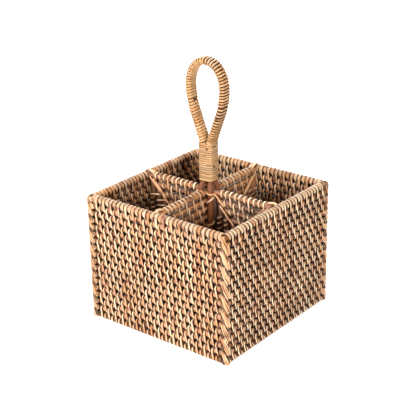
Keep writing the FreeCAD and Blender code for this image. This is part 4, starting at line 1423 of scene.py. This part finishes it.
@dataclass
class Handle:
    """The loop handle: two bent rods whose ends are the post, bound with flat cane, and its collar.

    The lash sizes are those of the strips round the post rods, and the tie sizes those of the strips at the
    rim. rod_wave and the cane's three are waves: the size, and the distance or the turns between two knots.
    """

    seed: int = 900
    rod_radius: float = 3.05
    rod_wave: Span = (0.02, 20.0)
    rod_tone: float = 0.5
    bound_shade: float = 0.9
    bound_from: float = 1.0
    post: float = 6.55
    post_foot: float = 14.45
    end_inset: float = 0.4
    bundle_x: float = 4.35
    bundle_y: float = 3.2
    collar_foot: float = 157.0
    collar_height: float = 44.8
    splay: float = 10.6
    leg_height: float = 60.4
    bow_height: float = 27.5
    half_width: float = 22.4
    neck: float = 9.0
    leg_bend: float = 84.0
    parting: float = 4.0
    cane_thickness: float = 0.9
    cane_squareness: float = 3.2
    cane_stray: Span = (0.12, 0.45)
    cane_wave: Span = (0.07, 0.7)
    cane_tone: Span = (0.5, 1.1)
    loop_turns: int = 18
    loop_slack: float = 0.08
    tuck: float = 8.0
    end_gap: float = 0.4
    collar_turns: int = 17
    collar_slack: float = 0.2
    collar_tone: float = 0.35
    collar_widths: Span = (1.1, 0.98)
    tack_radius: float = 1.2
    lash_tail: float = 1.5
    lash_end: float = 3.6
    lash_face: float = 3.5
    tie_reach: float = 5.0
    tie_lift: float = 0.75
    tie_half: Span = (1.05, 0.65)
    squareness: float = 2.6

    def __post_init__(self) -> None:
        """Draw the loop's line."""
        self.loop_foot = self.collar_foot + self.collar_height - self.parting
        self.loop = LoopLine((self.bundle_x, self.loop_foot), self.leg_height + self.parting, self.bow_height,
                             self.half_width, self.neck, self.leg_bend)

    def rod(self, node: str, side: float, seed: int, materials: Materials) -> None:
        """Make one bent rod.

        Args:
            node: The node that it stands for.
            side: -1 for the front rod, 1 for the back one.
            seed: Seed of the random draws.
            materials: The finished materials.
        """
        mesh = SweptMesh(seed)
        splayed = self.collar_foot - self.splay
        heights = np.concatenate((np.linspace(self.post_foot + self.end_inset, splayed, 26),
                                  np.linspace(splayed, self.collar_foot, 9)[1:],
                                  np.linspace(self.collar_foot, self.loop_foot, 9)[1:-1]))
        share = np.clip((heights - self.collar_foot + self.splay) / self.splay, 0.0, 1.0)
        share = share * share * (3 - 2 * share)
        leg = np.stack((self.post + (self.bundle_x - self.post) * share,
                        side * (self.post + (self.bundle_y - self.post) * share), heights), axis=-1)
        round_loop, _ = self.loop.at(np.linspace(0.0, 2 * self.loop.length, 96))
        round_loop[:, 1] = side * self.bundle_y
        line = np.concatenate((leg, round_loop, leg[::-1] * np.array((-1.0, 1.0, 1.0))))
        radii = self.rod_radius * (1 + waver(mesh.rng, distances(line), self.rod_wave))
        # Painted shade on the rods where the cane binds them, seen between its turns.
        bound = self.bound_shade * (line[:, 2] > self.collar_foot + self.bound_from)
        mesh.sweep(line, NORTH, radii, radii, recess=bound, sides=ROD_SIDES, tone=self.rod_tone)
        mesh.build(node, Slot.HANDLE, materials)

    def wind(self, mesh: SweptMesh, axis: Callable[[Array], tuple[Array, Array]],
             travel: Callable[[Array], Array], turns: int, section: tuple[Array, Array, Array],
             width: Callable[[Array], Array], tone: float, flare: Callable[[Array], Array] | None = None,
             edge: float = 0.0) -> None:
        """Wind one flat cane round a bundle.

        Args:
            mesh: The mesh that it goes into.
            axis: Gives points and directions of the bundle's middle by distance.
            travel: Gives the distance along the bundle by share of the winding.
            turns: Number of turns.
            section: Points, outward directions and shares of one turn.
            width: Gives the cane's width by share of the winding.
            tone: The cane's mean tone.
            flare: Gives how far the bundle's two sides part by share of the winding, if they do.
            edge: How much shade is painted on the cane's two edges.
        """
        flat, normals, shares = section
        turn = (np.arange(turns)[:, None] + shares).ravel()
        done = turn / turns
        middle, way = axis(travel(done))
        inward = np.cross(NORTH, way)
        flat, normals = np.tile(flat, (turns, 1)), np.tile(normals, (turns, 1))
        if flare is not None:
            flat[:, 0] += np.sign(flat[:, 0]) * flare(done)
        uneven = waver(mesh.rng, turn, self.cane_stray)
        line = middle + inward * flat[:, :1] + NORTH * flat[:, 1:] + way * uneven[:, None]
        out = inward * normals[:, :1] + NORTH * normals[:, 1:]
        wide = np.cross(out, unit(np.gradient(line, axis=0)))
        half = width(done) / 2 * (1 + waver(mesh.rng, turn, self.cane_wave))
        tones = np.clip(tone + waver(mesh.rng, turn, self.cane_tone), 0.0, 1.0)
        mesh.sweep(line, wide, half, self.cane_thickness / 2, recess=Strand(edge=edge).clean(line),
                   squareness=self.cane_squareness, tone=tones)

    def bindings(self, materials: Materials) -> None:
        """Make the four bindings of the loop."""
        radius = self.rod_radius + self.loop_slack + self.cane_thickness / 2
        section = wrap_section(((0.0, -self.bundle_y), (0.0, self.bundle_y)), radius, 11)
        quarter = 2 * (self.loop.length + self.tuck) / len(Binding)
        for i, binding in enumerate(Binding):
            node, first, last, crowd, tone = binding.value
            start = -self.tuck + i * quarter + self.end_gap
            run = quarter - 2 * self.end_gap
            mesh = SweptMesh(self.seed + 10 + i)

            def travel(done: Array, start: float = start, run: float = run, crowd: float = crowd) -> Array:
                """Give the distance along the loop by share of the binding."""
                return start + run * (done + crowd * done * (1 - done))

            def width(done: Array, first: float = first, last: float = last) -> Array:
                """Give the cane's width by share of the binding."""
                return first + (last - first) * done

            self.wind(mesh, self.loop.at, travel, self.loop_turns, section, width, tone)
            mesh.build(node, Slot.CANE, materials)

    def collar(self, materials: Materials) -> None:
        """Make the collar's binding, close turns round all four rods."""
        corners = [(-self.bundle_x, -self.bundle_y), (self.bundle_x, -self.bundle_y),
                   (self.bundle_x, self.bundle_y), (-self.bundle_x, self.bundle_y)]
        radius = self.rod_radius + self.collar_slack + 1.5 * self.cane_thickness
        section = wrap_section(corners, radius, 5)
        pitch = self.collar_height / (self.collar_turns + 1)
        mesh = SweptMesh(self.seed + 20)

        def axis(distance: Array) -> tuple[Array, Array]:
            """Follow the upright axis of the collar."""
            return np.outer(distance, UP) + UP * self.collar_foot, np.tile(UP, (len(distance), 1))

        def travel(done: Array) -> Array:
            """Give the height over the collar's foot by share of the binding."""
            return pitch / 2 + (self.collar_height - pitch) * done

        def width(done: Array) -> Array:
            """Give the cane's width by share of the binding, fuller at the foot."""
            return pitch * np.where(done * self.collar_turns < 1.0, *self.collar_widths)

        def flare(done: Array) -> Array:
            """Give how far the two legs have parted by share of the binding."""
            above = np.maximum(travel(done) + self.collar_foot - self.loop_foot, 0.0)
            return above ** 2 / (2 * self.neck)

        self.wind(mesh, axis, travel, self.collar_turns, section, width, self.collar_tone, flare, edge=1.0)
        mesh.build("collar_binding", Slot.CANE, materials)

    def tacks(self, materials: Materials) -> None:
        """Make the two tacks with domed heads."""
        low, high = box_of("collar_tacks")
        mesh = SweptMesh(self.seed + 30)
        front = np.array((self.bundle_x, low[1], high[2] - self.tack_radius))
        right = np.array((high[0], -self.bundle_y, low[2] + self.tack_radius))
        reach = np.array((3.0, 2.2, 1.4, 0.95, 0.9, 0.6, 0.3, 0.06, 0.0))
        radii = np.array((0.3, 0.4, 0.4, 0.4, 1.2, 1.18, 0.95, 0.55, 0.2))
        for tip, inward, wide in ((front, NORTH, EAST), (right, -EAST, NORTH)):
            mesh.sweep(tip + np.outer(reach, inward), wide, radii, radii, sides=TACK_SIDES, bevel=0.02)
        mesh.build("collar_tacks", Slot.TACK, materials)

    def lashings(self, materials: Materials) -> None:
        """Make the strips that tie each post rod to the dividers beside it."""
        low, high = box_of("post_lashings")
        strand = Strand(width=2.2, thickness=1.3)
        mesh = SweptMesh(self.seed + 40)
        angle = np.linspace(-math.pi / 4, 3 * math.pi / 4, 13)
        radius = self.rod_radius + strand.lift
        arc = np.stack((self.post + radius * np.cos(angle), self.post + radius * np.sin(angle)), axis=-1)
        arc = np.concatenate(([[arc[0, 0] - self.lash_tail, self.lash_end]], arc,
                              [[self.lash_end, arc[-1, 1] - self.lash_tail]]))
        arc = arc[(arc > self.lash_face).all(axis=1)]
        share = np.linspace(-0.5, 0.5, len(arc))
        for east, north in ((1, 1), (-1, 1), (-1, -1), (1, -1)):
            twist = east * north
            for level, slope in ((high[2] + 2.6, 1.5), (high[2] - 4.6, 10.0 * twist),
                                 (low[2] + 1.2, 6.0 * twist)):
                height = level + slope * share + mesh.rng.uniform(-0.5, 0.5)
                line = np.stack((east * arc[:, 0], north * arc[:, 1], height), axis=-1)
                mesh.sweep(line, UP, strand.width / 2, strand.thickness / 2, recess=strand.clean(line),
                           squareness=self.squareness, tone=mesh.rng.uniform(0.0, 0.5))
        mesh.build("post_lashings", Slot.STRAND, materials)

    def ties(self, materials: Materials) -> None:
        """Make the strips that tie the dividers' highest rods to the rim."""
        low, high = box_of("rim_ties")
        mesh = SweptMesh(self.seed + 50)
        inside = float(high[0]) - self.tie_reach
        steps = np.array((-6.4, -6.0, -4.4, -2.4, -0.6, 1.0, 2.8, 4.4, 5.0))
        rises = np.array((-2.6, -1.5, -0.5, -0.2, 0.1, 0.55, 0.6, 0.2, -0.6))
        for outward in (EAST, -EAST, NORTH, -NORTH):
            across = np.cross(UP, outward)
            for shift, slant in ((-1.2, 0.5), (1.2, -0.3)):
                line = np.outer(inside + steps, outward) + np.outer(low[2] + self.tie_lift + rises, UP)
                line = line + np.outer(shift + slant * steps / self.tie_reach, across)
                mesh.sweep(line, across, *self.tie_half, squareness=self.squareness)
        mesh.build("rim_ties", Slot.STRAND, materials)

    def build(self, materials: Materials) -> None:
        """Make all pieces of the handle."""
        self.rod("front_handle_rod", -1.0, self.seed, materials)
        self.rod("back_handle_rod", 1.0, self.seed + 1, materials)
        self.bindings(materials)
        self.collar(materials)
        self.tacks(materials)
        self.lashings(materials)
        self.ties(materials)


@dataclass(frozen=True)
class Lamp:
    """One soft square lamp: its place, its side and the point that it faces, in metres, and its watts."""

    name: str
    place: tuple[float, float, float]
    size: float
    power: float
    aim: tuple[float, float, float] = (0.0, 0.0, 0.1)

    def hang(self) -> None:
        """Put the lamp in the scene."""
        data = bpy.data.lights.new(self.name, "AREA")
        data.energy = self.power
        data.size = self.size
        lamp = bpy.data.objects.new(self.name, data)
        lamp.location = self.place
        lamp.rotation_euler = (Vector(self.aim) - Vector(self.place)).to_track_quat("-Z", "Y").to_euler()
        bpy.context.scene.collection.objects.link(lamp)


@dataclass
class Studio:
    """Camera at the photograph's angle, soft light, and a pale floor.

    The camera's distance and aim are in millimetres. The floor's sizes are in metres: its glow stays off the
    footprint of the caddy and rises from the first to the second of glow_levels over glow_reach.
    """

    azimuth: float = 38.52
    elevation: float = 22.66
    roll: float = -0.96
    distance: float = 1229.4
    aim: tuple[float, float, float] = (-1.97, 0.0, 122.5)
    lens: float = 96.62
    sensor: float = 36.0
    nearest: float = 0.05
    ambient: float = 0.02
    floor_half: float = 6.0
    floor_grey: float = 0.86
    floor_rough: float = 0.9
    footprint: float = 0.09
    glow_reach: Span = (0.5, 2.5)
    glow_levels: Span = (0.62, 1.0)
    lamps: tuple[Lamp, ...] = (
        Lamp("key", (-0.60, -1.45, 1.1), 0.4, 27.0),
        Lamp("fill", (1.50, -1.10, 0.62), 0.3, 35.0),
        Lamp("top", (0.10, -0.25, 1.9), 0.4, 25.0),
        Lamp("back", (-1.20, 1.40, 0.9), 0.5, 18.0),
    )

    def camera(self) -> None:
        """Place the camera."""
        turn, rise, roll = (math.radians(a) for a in (self.azimuth, self.elevation, self.roll))
        back = Vector((math.sin(turn) * math.cos(rise), -math.cos(turn) * math.cos(rise), math.sin(rise)))
        level = Vector((math.cos(turn), math.sin(turn), 0.0))
        upright = back.cross(level)
        right = level * math.cos(roll) + upright * math.sin(roll)
        top = upright * math.cos(roll) - level * math.sin(roll)
        place = (Vector(self.aim) + back * self.distance) * MM
        data = bpy.data.cameras.new("photo_camera")
        data.lens = self.lens
        data.sensor_width = self.sensor
        data.sensor_fit = "HORIZONTAL"
        data.clip_start = self.nearest
        data.dof.use_dof = False
        camera = bpy.data.objects.new("photo_camera", data)
        columns = Matrix((right, top, back)).transposed()
        camera.matrix_world = Matrix.Translation(place) @ columns.to_4x4()
        bpy.context.scene.collection.objects.link(camera)
        bpy.context.scene.camera = camera

    def seen(self, graph: NodeGraph) -> Socket:
        """Give 1 to the rays that show the background: from the camera, a gloss or a clear surface."""
        path = graph.add("ShaderNodeLightPath").outputs
        shown = graph.math("MAXIMUM", path["Is Camera Ray"], path["Is Glossy Ray"])
        return graph.math("MAXIMUM", shown, path["Is Transmission Ray"])

    def world(self) -> None:
        """Give a white background to the camera and a softer white light to the caddy."""
        world = bpy.data.worlds.new("studio_world")
        world.use_nodes = True
        graph = NodeGraph(world.node_tree)
        strength = graph.ramp(self.seen(graph), 0.0, 1.0, self.ambient, 1.0)
        graph.fill(world.node_tree.nodes["Background"], {"Color": WHITE, "Strength": strength})
        bpy.context.scene.world = world

    def floor(self) -> None:
        """Lay the pale floor, which shows white to the camera where no shadow falls."""
        half = self.floor_half
        corners = [(-half, -half, 0), (half, -half, 0), (half, half, 0), (-half, half, 0)]
        mesh = bpy.data.meshes.new("studio_floor")
        mesh.from_pydata(corners, [], [(0, 1, 2, 3)])
        material, graph, shader = new_material("studio_floor")
        spot = graph.add("ShaderNodeSeparateXYZ", {"Vector": graph.place()}).outputs
        away = graph.math("MAXIMUM", graph.math("ABSOLUTE", spot["X"]), graph.math("ABSOLUTE", spot["Y"]))
        beside = graph.math("GREATER_THAN", away, self.footprint)
        level = graph.ramp(away, *self.glow_reach, *self.glow_levels)
        glow = graph.math("MULTIPLY", graph.math("MULTIPLY", self.seen(graph), beside), level)
        grey = (self.floor_grey, self.floor_grey, self.floor_grey, 1.0)
        graph.fill(shader, {"Base Color": grey, "Roughness": self.floor_rough, "Specular IOR Level": 0.0,
                            "Emission Color": WHITE, "Emission Strength": glow})
        mesh.materials.append(material)
        floor = bpy.data.objects.new("studio_floor", mesh)
        bpy.context.scene.collection.objects.link(floor)

    def build(self) -> None:
        """Set up the whole studio."""
        bpy.context.scene.view_settings.view_transform = "Standard"
        self.camera()
        self.world()
        self.floor()
        for lamp in self.lamps:
            lamp.hang()


def make_materials() -> Materials:
    """Build the shared effects once and every finish from them.

    Returns:
        The materials by slot.
    """
    groups = {"fibre": fibre_group(), "recess": recess_group(), "age": age_group()}
    return {finish.slot: finish.material(groups) for finish in FINISHES}


def build_box(materials: Materials) -> None:
    """Make the four walls, the lashings of their corners and the floor."""
    # lit and dim are one strand for a lit and a shaded inner face: dim has lower tones and more painted inner
    # shade.
    lit = Strand(width=2.3, narrow=0.1, tones=(0.1, 0.7), inner_shade=0.05, crown=1.9)
    dim = Strand(width=2.3, narrow=0.1, tones=(0.0, 0.6), inner_shade=0.4, crown=1.9)
    # slim has paler tones and the right wall's rods lower ones: a painted highlight on its strands, painted
    # shade on its rods.
    slim = Strand(width=1.9, thickness=0.7, sway=1.6, narrow=0.35, tones=(0.5, 1.0), inner_shade=0.4, crown=2.2,
                  hook=(-0.5, -0.8, -1.0, -0.4, 0.5, 0.85), stray=0.5)
    ends = [Wall("front", -NORTH, 100, tones=(0.4, 1.0), shadow=0.3, strand=Strand(inner_shade=0.4, crown=2.1)),
            Wall("back", NORTH, 120, strand=lit, shade=1.2, inside=0.0)]
    sides = [Wall("left", -EAST, 140, pairs=33, strand=dim, shadow=1.2, shade=1.6, inside=0.45),
             Wall("right", EAST, 160, pairs=33, strand=slim, tones=(0.0, 0.6), shadow=-1.3, shade=2.4)]
    for wall in ends + sides:
        wall.build(materials)
    for end in ends:
        for side in sides:
            CornerLashing("%s_%s_corner_lashing" % (end.name, side.name), side, end).build(materials)
    Floor().build(materials)


def build_dividers(materials: Materials) -> None:
    """Make the long divider, the two short ones and the strands along their mitres."""
    strand_free = Divider.post_zone + Divider.diameter / 2
    half_long = float(box_of("long_divider_rods")[1][1])
    inner = float(box_of("right_divider_rods")[0][0])

    def beside_post(across: float) -> bool:
        """Tell whether a place along a short divider is beside the post."""
        return across + inner < strand_free

    dividers = [
        Divider("long_divider", NORTH, 300, lambda across: abs(across - half_long) < strand_free,
                tones=(0.5, 1.0), shade=1.6,
                strand=Strand(sway=1.5, looseness=0.5, crown=1.9, tones=(0.1, 0.8))),
        Divider("left_divider", -EAST, 320, beside_post),
        Divider("right_divider", EAST, 340, beside_post),
    ]
    slants = SweptMesh(360)
    for divider in dividers:
        divider.build(materials)
        divider.mitres(slants)
    slants.build("mitre_strands", Slot.STRAND, materials)


def main() -> None:
    """Build the caddy's pieces in order, then the studio, and note the sizes."""
    logging.basicConfig(level=logging.INFO, format="%(name)s %(message)s")
    materials = make_materials()
    build_box(materials)
    build_dividers(materials)
    Handle().build(materials)
    Studio().build()
    bpy.context.view_layer.update()


if __name__ == "__main__":
    main()
